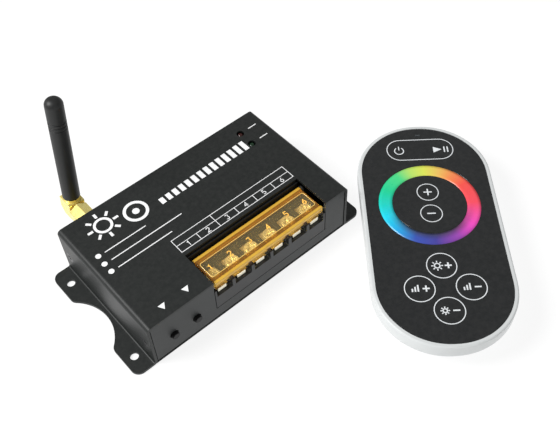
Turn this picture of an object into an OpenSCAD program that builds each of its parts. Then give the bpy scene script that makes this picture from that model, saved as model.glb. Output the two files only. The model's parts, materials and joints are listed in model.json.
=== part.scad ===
// Strip light controller: a bent sheet case with a screw terminal block, a hinged amber
// cover, two push buttons and a stub antenna, and beside it the hand-held touch remote.
// Millimetres. The origin is the centre of the four mounting holes, under the ears.
// +X runs along the case, -Y is the terminal side, +Z is up.

/* [Case] */
// Length of the case between the outer faces of its side walls
case_l = 99; // [97:0.5:110]
// Width of the case from the terminal side to the antenna side
case_w = 60; // [58:0.5:70]
// Height of the case
case_h = 24; // [23.5:0.1:28]
// Thickness of the bent cover sheet
sheet_t = 1.2; // [0.8:0.1:1.5]
// Thickness of the bent tray sheet
tray_t = 1.2; // [0.8:0.1:1.5]
// Outer radius of the long top bends
bend_r = 2; // [1.6:0.1:3]
// Inner radius of the bends where the ears leave the walls
fold_r = 0.8; // [0.5:0.1:1.2]
// Reach of the ears beyond the side walls
ear_reach = 8.6; // [8.5:0.1:12]
// Radius of the outer ear corners
ear_corner_r = 3.5; // [2:0.1:4.5]
// Radius of the round waist between two ears
waist_r = 18.8; // [17:0.1:20]
// Width of the flange left at the waist
waist_flange = 2; // [1.5:0.1:3]
// Radius of the corner where the waist meets the ear's outer edge
waist_corner_r = 3; // [1.5:0.1:3.5]
// Distance of the mounting holes out from the side walls
hole_out = 4.25; // [3.8:0.05:5.5]
// Distance of the mounting holes in from the ears' outer ends
hole_inset = 7.75; // [7:0.05:8.5]
// Diameter of the mounting holes
hole_d = 3.4; // [3:0.1:3.8]
// Gap where the tray's edges meet the cover
seam_gap = 0.3; // [0.2:0.05:0.4]

/* [Case screws] */
// Diameter of the side screws
case_screw_d = 2.9; // [2.5:0.1:3]
// Diameter of the side screws' flat heads
case_screw_head_d = 5; // [4.6:0.1:5.2]
// Distance of the side screws in from the ends of their wall
case_screw_inset = 4.5; // [4.5:0.1:5.5]
// Height of the side screws
case_screw_z = 11.4; // [10:0.1:13]

/* [Terminal block] */
// Distance from one terminal to the next
pitch = 9.5; // [9.4:0.1:9.6]
// Distance of the block's middle in from the case end with the lights
block_inset = 40.3; // [40.1:0.1:42.5]
// Thickness of the ribs between terminals
rib_t = 1.5; // [1.2:0.1:1.7]
// Thickness of the block's end walls
end_wall_t = 0.9; // [0.8:0.1:1]
// Depth of the block from front to rear
block_depth = 17.4; // [17:0.1:18.5]
// Width of the opening that the block looks out of
window_l = 57; // [56.8:0.1:58]
// Height of the floor of each wire bay above the board
bay_floor_h = 7; // [6:0.1:7]
// Height of the ribs above the bay floor
rib_h = 4; // [4:0.1:4.8]
// Diameter of the terminal screws
clamp_screw_d = 2.9; // [2.5:0.1:3]
// Diameter of the terminal screws' heads
clamp_head_d = 5.6; // [5:0.1:6]
// Lift of a clamp when its screw is loosened
clamp_lift = 1.8; // [1.4:0.1:1.9]

/* [Amber cover] */
// Thickness of the cover's flange
cover_t = 1; // [0.8:0.1:1.2]
// Height of the raised window and front ridge above the flange
cover_rise = 0.4; // [0.3:0.1:0.6]
// Depth of the front skirt below the flange
skirt_h = 2.8; // [2:0.1:3]
// Radius of the hinge barrel along the rear edge
barrel_r = 1.4; // [1.2:0.1:1.4]
// Diameter of the hinge pins
hinge_pin_d = 1.5; // [1.2:0.1:1.6]

/* [Buttons and lights] */
// Diameter of the push buttons
button_d = 3.2; // [2.5:0.1:3.6]
// How far the buttons stand out of the front panel
button_out = 1.5; // [1:0.1:2]
// Travel of the buttons
button_travel = 0.25; // [0.2:0.05:0.3]
// Distance between the two buttons
button_span = 10.6; // [9:0.1:12]
// Distance of the middle between the buttons in from their case end
button_inset = 15.8; // [13.5:0.1:19.5]
// Height of the buttons
button_z = 10.1; // [10:0.1:10.5]
// Diameter of the indicator lights
light_d = 3; // [2.5:0.1:3.4]
// Distance between the indicator lights
light_span = 7.6; // [6:0.1:9]
// Distance of the indicator lights in from their case end
light_inset = 12.7; // [12.3:0.1:17.5]
// Distance of the middle between the lights in from the rear
light_rear_inset = 11.5; // [10:0.1:14]

/* [Board] */
// Thickness of the main board
board_t = 1.6; // [1.2:0.1:1.6]
// Height of the spacers under the main board
spacer_h = 3.8; // [3.6:0.1:4.2]

/* [Antenna] */
// Distance of the connector in from its case end
jack_inset = 15; // [11.5:0.1:19.5]
// Height of the connector
jack_z = 14; // [13.5:0.1:15]
// Diameter of the connector's thread
jack_d = 6.35; // [6:0.05:6.5]
// Length of thread outside the case
jack_out = 8.85; // [8.5:0.05:10]
// Width across flats of the hexagon nuts
nut_af = 8; // [7.5:0.1:8.5]
// Length of the coupling nut
coupling_l = 8.5; // [8:0.1:9]
// Diameter of the antenna sleeve
sleeve_d = 7.2; // [6.8:0.1:8.5]
// Length of the antenna sleeve
sleeve_l = 50.8; // [45:0.1:60]
// Lean of the antenna away from upright
lean = 6; // [0:0.1:20]

/* [Remote] */
// Length of the black touch panel
panel_l = 106; // [104:0.2:110]
// Width of the black touch panel
panel_w = 51.4; // [51:0.2:54]
// Corner radius of the touch panel
panel_corner_r = 25.2; // [23:0.1:25.4]
// Thickness of the touch panel
panel_t = 1.5; // [1.2:0.1:1.8]
// Width of the white rim around the panel
rim_w = 1.8; // [1.6:0.1:3]
// Thickness of the whole remote
remote_t = 17.5; // [17.5:0.1:19]
// Thickness of the remote's edge above its narrower back
slab_t = 9; // [8.6:0.1:9.2]
// Wall thickness of the remote's shells
shell_t = 1.7; // [1.4:0.1:1.8]
// Turn of the remote's long axis from +X
remote_turn = 50.4; // [45:0.1:56]
// Place of the remote's middle, along X
remote_x = 64.8; // [64:0.1:75]
// Place of the remote's middle, along Y
remote_y = -63.2; // [-75:0.1:-63]
// Outer radius of the ring that the finger slides on
ring_outer_r = 20.7; // [19:0.1:21]
// Inner radius of the ring that the finger slides on
ring_inner_r = 14.8; // [13:0.1:16]
// Place of the ring along the remote
ring_x = 11.3; // [10:0.1:12]
// Diameter of a battery cell
cell_d = 10.5; // [10:0.1:10.5]
// Length of a battery cell
cell_l = 44.5; // [44:0.1:44.5]

/* [Hidden] */
$fn = 64;

// One overrun for every cut, and the fits
cut = 1;
run_fit = 0.05;
slip_fit = 0.15;
free_fit = 0.3;

// Case, worked out
wall_in = case_l / 2 - sheet_t;
fold_h = sheet_t + fold_r;
ear_x = case_l / 2 + ear_reach;
hole_span_x = case_l + 2 * hole_out;
hole_span_y = case_w - 2 * hole_inset;
case_screw_span = case_w - 2 * case_screw_inset;
waist_x = case_l / 2 + waist_flange + waist_r;
waist_corner_x = ear_x - waist_corner_r;
waist_corner_y = sqrt(pow(waist_r + waist_corner_r, 2) - pow(waist_x - waist_corner_x, 2));
waist_touch_share = waist_r / (waist_r + waist_corner_r);
waist_touch_x = waist_x - (waist_x - waist_corner_x) * waist_touch_share;
waist_touch_y = waist_corner_y * waist_touch_share;
face_set = 0.25;
tray_bend_r = 1.6;
tray_half_l = wall_in - seam_gap;
tray_half_w = case_w / 2 - face_set;
tray_h = case_h - sheet_t - seam_gap / 2;
tray_in_y = tray_half_w - tray_t;
tab_w = 8;
tab_top_margin = 3.6;
case_screw_l = 6;
case_head_h = (case_screw_head_d - case_screw_d) / 2;

// Board, worked out
board_z = tray_t + spacer_h;
board_top = board_z + board_t;
board_side_gap = 1.5;
board_edge_gap = 1.2;
board_half_l = tray_half_l - tray_t - board_side_gap;
board_half_w = tray_in_y - board_edge_gap;
spacer_af = 5.5;
spacer_bore_d = 3;
spacer_inset = 3.7;
spacer_front_inset = 10.8;
spacer_rear_inset = 4;
board_screw_head_d = 5.4;
board_screw_head_h = 1.8;
board_screw_grip = 2.6;
film_t = 0.3;
film_gap = 0.7;

// Terminal block, worked out
ways = 6;
block_x = case_l / 2 - block_inset;
block_half_l = window_l / 2 - seam_gap;
block_front = -tray_half_w + run_fit;
block_rear = block_front + block_depth;
bay_z = board_top + bay_floor_h;
rib_top = bay_z + rib_h;
bay_in_l = block_half_l - end_wall_t;
rear_wall_t = 4.6;
screen_t = 1.2;
screen_top = case_h - sheet_t - free_fit;
contact_t = 0.8;
contact_w = 6.4;
contact_set = 2.9;
contact_l = 8.5;
leg_w = 1.2;
leg_t = 0.8;
leg_out = 1.6;
leg_gap = 0.2;
clamp_w = 6.4;
clamp_l = 7.6;
clamp_lip_w = 4;
clamp_lip_l = 1.5;
clamp_lip_t = 0.8;
clamp_t = 0.9;
clamp_gap = 0.3;
clamp_back = 6.7;
clamp_y = block_front + clamp_back;
clamp_z = bay_z + contact_t + clamp_gap;
clamp_head_h = 1.8;
clamp_head_gap = 0.1;
thread_grip = 1.4;
clamp_screw_l = clamp_t + clamp_gap + clamp_head_gap + contact_t + clamp_lift + thread_grip;
recess_l = 3.6;
recess_w = 1;
recess_h = 1;
well_h = 4.4;
window_floor = board_top - slip_fit;
window_lap = 0.45;
window_rear = block_rear - window_lap;

// Amber cover, worked out
cover_half_l = bay_in_l - slip_fit;
cover_front = block_front + free_fit;
hinge_back = 13.75;
hinge_y = block_front + hinge_back;
cover_z = rib_top + skirt_h + slip_fit;
hinge_z = cover_z + cover_t + cover_rise - barrel_r;
skirt_t = 1.3;
platform_end_inset = 0.9;
platform_front_inset = 3.1;
platform_rear_gap = 2.35;
platform_corner_r = 1;
hinge_pin_l = 0.65;
lug_half_w = 1.6;
lug_gap = 0.2;

// Buttons and lights, worked out
button_x = button_inset - case_l / 2;
light_x = case_l / 2 - light_inset;
light_y = case_w / 2 - light_rear_inset;
switch_w = 6.2;
switch_t = 3.8;
switch_h = 6.8;
switch_gap = 2.1;
switch_front = -tray_in_y + switch_gap;
press_gap = 0.25;
button_in = 1.4;
switch_bore_depth = button_in + button_travel + press_gap;
light_recess = 0.4;
light_h = 5.3;
light_flange_d = 3.8;
light_flange_h = 1;
lead_t = 0.5;
lead_span = 1.27;
lead_out = 1;

// Antenna, worked out
jack_x = jack_inset - case_l / 2;
rear_face = tray_half_w;
jack_flange_t = 2.5;
jack_tail_d = 2.6;
jack_tail_l = 3.5;
coax_start = [tray_in_y - jack_flange_t - jack_tail_l, jack_z];
jack_bore_d = 4.6;
jack_bore_l = 4.6;
washer_t = 0.5;
washer_d = 8.8;
jack_nut_t = 2;
nut_gap = 0.75;
coupling_y = rear_face + washer_t + jack_nut_t + nut_gap;
lip_t = 1.9;
lip_r = 2.6;
collar_t = 0.6;
elbow_gap = 0.5;
elbow_y = coupling_y + coupling_l + elbow_gap;
elbow_w = 7;
elbow_depth = 7.6;
elbow_below = 3.6;
elbow_above = 4.2;
elbow_chamfer = 2.6;
rod_y = elbow_y + elbow_depth / 2;
neck_d = 6.4;
neck_h = 1.5;
sleeve_z = elbow_above + neck_h;
spigot_d = 5;
spigot_h = 5.5;
sleeve_bore_d = 3.2;
sleeve_top_r = 3;
sleeve_top_wall = 5;
groove_w = 0.5;
groove_h = 0.25;
groove_top = 10.4;
groove_step = 1.6;
groove_count = 3;
element_d = 1.2;
element_gap = 4;
element_l = sleeve_l - sleeve_top_wall - spigot_h - element_gap;
loading_coil_d = 2.4;
loading_coil_l = 9;

// Parts on the board
module_l = 16;
module_w = 13;
module_t = 1;
module_lift = 1.6;
module_rear_gap = 16.55;
module_y = tray_in_y - module_rear_gap;
header_w = 2.5;
shield_l = 12;
shield_w = 8;
shield_h = 1.8;
coax_d = 1.4;
coax_plug_d = 2.4;
coax_plug_h = 1.2;
coax_plug_gap = 11.95;
coax_plug_y = tray_in_y - coax_plug_gap;
chip_l = 7.2;
chip_w = 5.3;
chip_h = 1.5;
chip_leg_w = 0.3;
chip_leg_l = 1.1;
chip_leg_step = 0.65;
chip_legs = 10;
chip_x = -9;
chip_y = 2;
fet_count = 3;
fet_w = 6.6;
fet_l = 6.1;
fet_h = 2.3;
fet_tab_l = 1.5;
fet_tab_t = 0.6;
fet_leg_w = 0.8;
fet_leg_l = 2.4;
fet_leg_step = 2.3;
fet_gap = 9.3;
fet_y = block_rear + fet_gap;
cap_d = 8;
cap_h = 12;
cap_step = 10;
cap_x = 10;
cap_rear_gap = 12.55;
cap_y = tray_in_y - cap_rear_gap;
cap_groove = 0.4;
cap_groove_z = 2;
reg_l = 6.5;
reg_w = 3.5;
reg_h = 1.6;
reg_tab_w = 3;
reg_tab_l = 1.6;
reg_tab_t = 0.5;
reg_side_gap = 3;
reg_x = block_x - block_half_l - reg_side_gap;
reg_gap = 4.3;
reg_y = block_rear + reg_gap;

// Remote, worked out
core_x = panel_l / 2 - panel_corner_r;
core_y = panel_w / 2 - panel_corner_r;
body_r = panel_corner_r + rim_w;
corner_turn = 90;
panel_set = 0.1;
panel_z = remote_t - panel_set - panel_t;
plate_t = 1;
plate_z = panel_z - plate_t;
slab_z = remote_t - slab_t;
slab_edge_r = 4;
slab_top_r = 0.8;
part_rise = 2.6;
part_z = slab_z + part_rise;
shell_in_r = body_r - shell_t - free_fit;
floor_step = 0.8;
floor_in_r = shell_in_r - floor_step;
back_foot_inset = 13;
back_step_points = [[11, 0.9], [8.8, 3.2]];
back_top_inset = 6.6;
cell_end_inset = 20.5;
cell_set = 2.2;
door_x = cell_end_inset - core_x - body_r + cell_l + cell_set;
door_half_w = 15.5;
door_gap = 0.25;
ring_groove_h = 0.2;
pcb_inset = 0.7;
pcb_r = panel_corner_r - pcb_inset;
pcb_t = 1.2;
pcb_z = plate_z - pcb_t;
slot_x = 49.2;
slot_l = 0.8;
slot_w = 2.2;
lens_gap = 0.1;
cell_count = 3;
cell_step = 10.9;
cell_z = shell_t + free_fit + cell_d / 2;
cell_x = door_x - cell_set - cell_l / 2;
cell_nub_d = 3.8;
cell_nub_l = 0.8;
cell_end_gap = 0.9;
bulkhead_t = 1.1;
bulkhead_gap = 0.3;
bulkhead_z = shell_t + bulkhead_gap;
bulkhead_half_w = core_y + body_r - back_top_inset;
contact_plate_t = 0.4;
contact_plate_h = 7;
contact_spring_d = 5;
remote_screw_x = 38;
remote_screw_y = 8;
remote_screw_d = 2.2;
remote_screw_head_d = 4;
remote_screw_head_h = 1.4;
remote_screw_set = 1.6;
remote_screw_l = 11;
post_d = 5.2;
post_gap = 0.4;
remote_chip_l = 10;
remote_chip_w = 7.5;
remote_chip_h = 1.6;
remote_chip_x = 24;
radio_chip_w = 4.5;
radio_chip_h = 1;
radio_chip_x = 44;

// Round rectangle about the origin, as squares and circles
module round_rect(l, w, r) {
    square([l - 2 * r, w], center = true);
    square([l, w - 2 * r], center = true);
    for (sx = [-1, 1], sy = [-1, 1])
        translate([sx * (l / 2 - r), sy * (w / 2 - r)]) circle(r);
}

// Hexagonal bar along +Y
module hex_y(af, l) {
    rotate([-90, 30, 0]) cylinder(d = af / cos(30), h = l, $fn = 6);
}

// Round bar along +Y
module bar_y(r, l) {
    rotate([-90, 0, 0]) cylinder(r = r, h = l);
}

// Children on both sides of the case
module both_sides() {
    children();
    mirror([1, 0, 0]) children();
}

// Children at each terminal
module at_way(i) {
    translate([block_x + (i - (ways - 1) / 2) * pitch, 0, 0]) children();
}

// Plan of one flange with its two ears and the waist between them
module flange_plan() {
    difference() {
        union() {
            translate([case_l / 2 + fold_r, -case_w / 2]) square([ear_reach - fold_r - ear_corner_r, case_w]);
            translate([case_l / 2 + fold_r, -case_w / 2 + ear_corner_r])
                square([ear_reach - fold_r, case_w - 2 * ear_corner_r]);
            for (s = [-1, 1])
                translate([ear_x - ear_corner_r, s * (case_w / 2 - ear_corner_r)]) circle(ear_corner_r);
        }
        translate([waist_x, 0]) circle(waist_r, $fn = 96);
        for (s = [0, 1]) mirror([0, s]) difference() {
            polygon([
                [ear_x + cut, waist_corner_y], [ear_x + cut, waist_touch_y],
                [waist_touch_x, waist_touch_y], [waist_corner_x, waist_corner_y]
            ]);
            translate([waist_corner_x, waist_corner_y]) circle(waist_corner_r);
        }
    }
}

// Cross-section of the cover sheet above the ear bends
module cover_section() {
    difference() {
        union() {
            translate([-case_l / 2, fold_h]) square([case_l, case_h - fold_h - bend_r]);
            translate([-case_l / 2 + bend_r, fold_h]) square([case_l - 2 * bend_r, case_h - fold_h]);
            for (s = [-1, 1]) translate([s * (case_l / 2 - bend_r), case_h - bend_r]) circle(bend_r);
        }
        translate([-wall_in, fold_h - cut]) square([2 * wall_in, case_h - fold_h - bend_r + cut]);
        translate([-case_l / 2 + bend_r, fold_h - cut])
            square([case_l - 2 * bend_r, case_h - fold_h - sheet_t + cut]);
        for (s = [-1, 1])
            translate([s * (case_l / 2 - bend_r), case_h - bend_r]) circle(bend_r - sheet_t);
    }
    for (s = [0, 1]) mirror([s, 0]) translate([case_l / 2 + fold_r, fold_h]) intersection() {
        difference() {
            circle(fold_h);
            circle(fold_r);
        }
        translate([-fold_h, -fold_h]) square([fold_h, fold_h]);
    }
}

// Opening for the terminal block, from height z0 upwards
module block_window(z0) {
    translate([block_x - window_l / 2, -case_w / 2 - cut, z0])
        cube([window_l, window_rear + case_w / 2 + cut, case_h]);
}

module at_case_screws() {
    for (sx = [0, 1], sy = [-1, 1])
        mirror([sx, 0, 0]) translate([case_l / 2, sy * case_screw_span / 2, case_screw_z]) children();
}

module top_cover() {
    color("#37393a") difference() {
        union() {
            rotate([90, 0, 0]) linear_extrude(case_w, center = true) cover_section();
            both_sides() linear_extrude(sheet_t) flange_plan();
        }
        for (sx = [-1, 1], sy = [-1, 1])
            translate([sx * hole_span_x / 2, sy * hole_span_y / 2, -cut])
                cylinder(d = hole_d, h = sheet_t + 2 * cut);
        block_window(case_h - sheet_t - cut);
        for (s = [-1, 1])
            translate([light_x, light_y + s * light_span / 2, case_h - sheet_t - cut])
                cylinder(d = light_d + 2 * slip_fit, h = sheet_t + 2 * cut);
        at_case_screws() rotate([0, -90, 0]) {
            translate([0, 0, -run_fit])
                cylinder(r1 = case_screw_head_d / 2 + run_fit, r2 = case_screw_d / 2 + run_fit,
                    h = case_head_h);
            translate([0, 0, -cut]) cylinder(r = case_screw_d / 2 + run_fit, h = sheet_t + 2 * cut);
        }
    }
}

module tray_section() {
    difference() {
        union() {
            translate([-tray_half_w, tray_bend_r]) square([2 * tray_half_w, tray_h - tray_bend_r]);
            translate([-tray_half_w + tray_bend_r, 0]) square([2 * (tray_half_w - tray_bend_r), tray_h]);
            for (s = [-1, 1]) translate([s * (tray_half_w - tray_bend_r), tray_bend_r]) circle(tray_bend_r);
        }
        translate([-tray_in_y, tray_bend_r]) square([2 * tray_in_y, tray_h]);
        translate([-tray_half_w + tray_bend_r, tray_t]) square([2 * (tray_half_w - tray_bend_r), tray_h]);
        for (s = [-1, 1])
            translate([s * (tray_half_w - tray_bend_r), tray_bend_r]) circle(tray_bend_r - tray_t);
    }
}

module base_tray() {
    color("#4b4e4e") difference() {
        union() {
            rotate([90, 0, 90]) linear_extrude(2 * tray_half_l, center = true) tray_section();
            both_sides() for (s = [-1, 1])
                translate([tray_half_l - tray_t, s * case_screw_span / 2 - tab_w / 2, 0])
                    cube([tray_t, tab_w, case_screw_z + tab_top_margin]);
        }
        block_window(window_floor);
        for (s = [-1, 1])
            translate([button_x + s * button_span / 2, -tray_half_w - cut, button_z])
                bar_y(button_d / 2 + free_fit, tray_t + 2 * cut);
        translate([jack_x, tray_in_y - cut, jack_z]) bar_y(jack_d / 2 + slip_fit, tray_t + 2 * cut);
        at_case_screws() rotate([0, -90, 0])
            cylinder(r = case_screw_d / 2 + run_fit, h = case_screw_l + cut);
    }
}

module case_screws() {
    color("#1d1e1f") at_case_screws() rotate([0, -90, 0]) difference() {
        union() {
            cylinder(r1 = case_screw_head_d / 2, r2 = case_screw_d / 2, h = case_head_h);
            cylinder(d = case_screw_d, h = case_screw_l);
        }
        translate([0, 0, case_head_h / 2 - cut / 2]) {
            cube([case_screw_head_d / 2, case_screw_d / 4, cut], center = true);
            cube([case_screw_d / 4, case_screw_head_d / 2, cut], center = true);
        }
    }
}

module at_spacers() {
    for (s = [-1, 1]) {
        translate([s * (board_half_l - spacer_inset), board_half_w - spacer_rear_inset, 0]) children();
        translate([s * (board_half_l - spacer_inset), -board_half_w + spacer_front_inset, 0]) children();
    }
}

module pcb_standoffs() {
    color("#c9b26a") at_spacers() translate([0, 0, tray_t]) difference() {
        rotate([0, 0, 30]) cylinder(d = spacer_af / cos(30), h = spacer_h, $fn = 6);
        translate([0, 0, -cut]) cylinder(d = spacer_bore_d, h = spacer_h + 2 * cut);
    }
}

module pcb_screws() {
    color("#b9bcbe") at_spacers() difference() {
        union() {
            translate([0, 0, board_top - board_screw_grip - board_t])
                cylinder(r = spacer_bore_d / 2 - run_fit, h = board_screw_grip + board_t);
            translate([0, 0, board_top]) cylinder(d = board_screw_head_d, h = board_screw_head_h);
        }
        translate([0, 0, board_top + board_screw_head_h]) {
            cube([board_screw_head_d / 2, recess_w, board_screw_head_h], center = true);
            cube([recess_w, board_screw_head_d / 2, board_screw_head_h], center = true);
        }
    }
}

module insulation_sheet() {
    color("#d8d3c4") difference() {
        translate([-board_half_l, -board_half_w, tray_t]) cube([2 * board_half_l, 2 * board_half_w, film_t]);
        at_spacers() cylinder(r = spacer_af / 2 + film_gap, h = board_z);
    }
}

module at_legs() {
    for (i = [0 : ways - 1])
        at_way(i) translate([0, block_front + contact_set + contact_l - leg_t / 2, 0]) children();
}

module at_light_leads() {
    for (s = [-1, 1], k = [-1, 1])
        translate([light_x + k * lead_span, light_y + s * light_span / 2, 0]) children();
}

module main_pcb() {
    color("#1f6b3c") difference() {
        translate([-board_half_l, -board_half_w, board_z])
            cube([2 * board_half_l, 2 * board_half_w, board_t]);
        at_spacers() translate([0, 0, board_z - cut])
            cylinder(r = spacer_bore_d / 2 + slip_fit, h = board_t + 2 * cut);
        at_legs() translate([0, 0, board_z + board_t / 2])
            cube([leg_w + 2 * leg_gap, leg_t + 2 * leg_gap, board_t + 2 * cut], center = true);
        at_light_leads() translate([0, 0, board_z + board_t / 2])
            cube([lead_t + 2 * leg_gap, lead_t + 2 * leg_gap, board_t + 2 * cut], center = true);
    }
}

// Lug behind the last rib that carries one end of the cover's hinge
module hinge_lug() {
    lug_x = cover_half_l + lug_gap;
    lug_t = block_half_l - lug_x;
    translate([lug_x, hinge_y, 0]) difference() {
        union() {
            translate([0, -lug_half_w, rib_top]) cube([lug_t, 2 * lug_half_w, hinge_z - rib_top]);
            translate([0, 0, hinge_z]) rotate([0, 90, 0]) cylinder(r = lug_half_w, h = lug_t);
        }
        translate([-cut, 0, hinge_z]) rotate([0, 90, 0])
            cylinder(r = hinge_pin_d / 2 + run_fit, h = lug_t + 2 * cut);
    }
}

module terminal_housing() {
    color("#2a2c2d") difference() {
        union() {
            translate([block_x - block_half_l, block_front, board_top])
                cube([2 * block_half_l, block_depth, bay_floor_h]);
            translate([block_x - block_half_l, block_rear - rear_wall_t, board_top])
                cube([2 * block_half_l, rear_wall_t, rib_top - board_top]);
            translate([block_x - block_half_l, block_rear - screen_t, board_top])
                cube([2 * block_half_l, screen_t, screen_top - board_top]);
            for (i = [1 : ways - 1])
                translate([block_x + (i - ways / 2) * pitch - rib_t / 2, block_front, board_top])
                    cube([rib_t, block_depth, rib_top - board_top]);
            translate([block_x, 0, 0]) both_sides() {
                translate([bay_in_l, block_front, board_top])
                    cube([end_wall_t, block_depth, rib_top - board_top]);
                hinge_lug();
            }
        }
        for (i = [0 : ways - 1]) at_way(i) translate([0, clamp_y, bay_z - well_h])
            cylinder(r = clamp_screw_d / 2 + free_fit, h = well_h + cut);
        at_legs() translate([0, 0, board_top + bay_floor_h / 2])
            cube([leg_w + 2 * leg_gap, leg_t + 2 * leg_gap, bay_floor_h + 2 * cut], center = true);
    }
}

module terminal_contacts() {
    color("#d9d4bd") for (i = [0 : ways - 1]) at_way(i) {
        difference() {
            translate([-contact_w / 2, block_front + contact_set, bay_z])
                cube([contact_w, contact_l, contact_t]);
            translate([0, clamp_y, bay_z - cut])
                cylinder(r = clamp_screw_d / 2 + run_fit, h = contact_t + 2 * cut);
        }
        translate([-leg_w / 2, block_front + contact_set + contact_l - leg_t, board_z - leg_out])
            cube([leg_w, leg_t, bay_z - board_z + leg_out + contact_t]);
    }
}

module clamp_plate(i) {
    color("#efe9d2") at_way(i) translate([0, clamp_y, clamp_z]) difference() {
        union() {
            translate([-clamp_w / 2, -clamp_l / 2, 0]) cube([clamp_w, clamp_l, clamp_t]);
            translate([-clamp_lip_w / 2, -clamp_l / 2 - clamp_lip_l, 0])
                cube([clamp_lip_w, clamp_lip_l + cut, clamp_t]);
            translate([-clamp_lip_w / 2, -clamp_l / 2 - clamp_lip_l, -contact_t])
                cube([clamp_lip_w, clamp_lip_t, contact_t + clamp_t]);
        }
        translate([0, 0, -cut]) cylinder(r = clamp_screw_d / 2 + free_fit, h = clamp_t + 2 * cut);
    }
}

module terminal_screw(i) {
    head_z = clamp_z + clamp_t + clamp_head_gap;
    color("#e8e2cb") at_way(i) translate([0, clamp_y, head_z]) difference() {
        union() {
            cylinder(d = clamp_head_d, h = clamp_head_h);
            translate([0, 0, -clamp_screw_l]) cylinder(d = clamp_screw_d, h = clamp_screw_l);
        }
        for (a = [0, 90]) rotate([0, 0, a]) translate([-recess_l / 2, -recess_w / 2, clamp_head_h - recess_h])
            cube([recess_l, recess_w, recess_h + cut]);
    }
}

module terminal_cover() {
    cover_w = hinge_y - cover_front;
    platform_w = cover_w - platform_front_inset - platform_rear_gap;
    color("#e0a62e", 0.6) translate([block_x, 0, 0]) {
        translate([-cover_half_l, cover_front, cover_z]) cube([2 * cover_half_l, cover_w, cover_t]);
        translate([0, cover_front + platform_front_inset + platform_w / 2, cover_z])
            linear_extrude(cover_t + cover_rise)
                round_rect(2 * (cover_half_l - platform_end_inset), platform_w, platform_corner_r);
        translate([-cover_half_l, cover_front, cover_z - skirt_h])
            cube([2 * cover_half_l, skirt_t, skirt_h + cover_t + cover_rise]);
        translate([-cover_half_l, hinge_y, hinge_z]) rotate([0, 90, 0])
            cylinder(r = barrel_r, h = 2 * cover_half_l);
        translate([-cover_half_l - hinge_pin_l, hinge_y, hinge_z]) rotate([0, 90, 0])
            cylinder(d = hinge_pin_d, h = 2 * (cover_half_l + hinge_pin_l));
    }
}

module push_button(s) {
    color("#151616") translate([button_x + s * button_span / 2, -tray_half_w - button_out, button_z])
        bar_y(button_d / 2, tray_half_w + button_out + switch_front + button_in);
}

module tact_switches() {
    color("#8d9092") for (s = [-1, 1])
        translate([button_x + s * button_span / 2, switch_front, 0]) difference() {
            translate([-switch_w / 2, 0, board_top]) cube([switch_w, switch_t, switch_h]);
            translate([0, -cut, button_z]) bar_y(button_d / 2 + slip_fit, switch_bore_depth + cut);
        }
}

module indicator(s) {
    dome_z = case_h - light_recess - light_d / 2;
    translate([light_x, light_y + s * light_span / 2, 0]) {
        translate([0, 0, dome_z - light_h + light_d / 2]) cylinder(d = light_flange_d, h = light_flange_h);
        translate([0, 0, dome_z - light_h + light_d / 2]) cylinder(d = light_d, h = light_h - light_d / 2);
        translate([0, 0, dome_z]) sphere(d = light_d);
    }
}

module led_leads() {
    color("#c4c7c9") at_light_leads() translate([-lead_t / 2, -lead_t / 2, board_z - lead_out])
        cube([lead_t, lead_t, case_h - light_recess - light_h - board_z + lead_out]);
}

module antenna_jack() {
    color("#d9b64f") translate([jack_x, 0, jack_z]) difference() {
        union() {
            translate([0, tray_in_y - jack_flange_t, 0]) hex_y(nut_af, jack_flange_t);
            translate([0, coax_start[0], 0]) bar_y(jack_tail_d / 2, jack_tail_l + cut);
            translate([0, tray_in_y - cut, 0]) bar_y(jack_d / 2, tray_t + jack_out + cut);
        }
        translate([0, rear_face + jack_out - jack_bore_l, 0]) bar_y(jack_bore_d / 2, jack_bore_l + cut);
    }
}

module jack_washer() {
    color("#cfae55") translate([jack_x, rear_face, jack_z]) difference() {
        bar_y(washer_d / 2, washer_t);
        translate([0, -cut, 0]) bar_y(jack_d / 2 + slip_fit, washer_t + 2 * cut);
    }
}

module jack_nut() {
    color("#dcbb5a") translate([jack_x, rear_face + washer_t, jack_z]) difference() {
        hex_y(nut_af, jack_nut_t);
        translate([0, -cut, 0]) bar_y(jack_d / 2 + run_fit, jack_nut_t + 2 * cut);
    }
}

module antenna_coupling_nut() {
    color("#e3c260") translate([jack_x, coupling_y, jack_z]) difference() {
        hex_y(nut_af, coupling_l);
        translate([0, -cut, 0]) bar_y(jack_d / 2 + run_fit + run_fit / 2, coupling_l - lip_t + cut);
        translate([0, -cut, 0]) bar_y(lip_r, coupling_l + 2 * cut);
    }
}

// Children in the antenna's own leaning frame, at the connector's axis
module antenna_frame() {
    translate([jack_x, 0, jack_z]) rotate([0, lean, 0]) children();
}

module antenna_elbow() {
    collar_y = coupling_y + coupling_l - lip_t - run_fit - collar_t;
    color("#e0bf5c") antenna_frame() {
        difference() {
            translate([-elbow_w / 2, elbow_y, -elbow_below])
                cube([elbow_w, elbow_depth, elbow_below + elbow_above]);
            translate([0, elbow_y + elbow_depth, -elbow_below]) rotate([45, 0, 0])
                cube([elbow_w + 2 * cut, elbow_chamfer * sqrt(2), elbow_chamfer * sqrt(2)], center = true);
        }
        translate([0, collar_y, 0]) bar_y(jack_d / 2 - run_fit, collar_t);
        translate([0, collar_y, 0]) bar_y(lip_r - 2 * run_fit, elbow_y - collar_y + cut);
        translate([0, rod_y, elbow_above - cut]) cylinder(d = neck_d, h = neck_h + cut);
        translate([0, rod_y, sleeve_z - cut]) cylinder(d = spigot_d, h = spigot_h + cut);
    }
}

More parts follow.
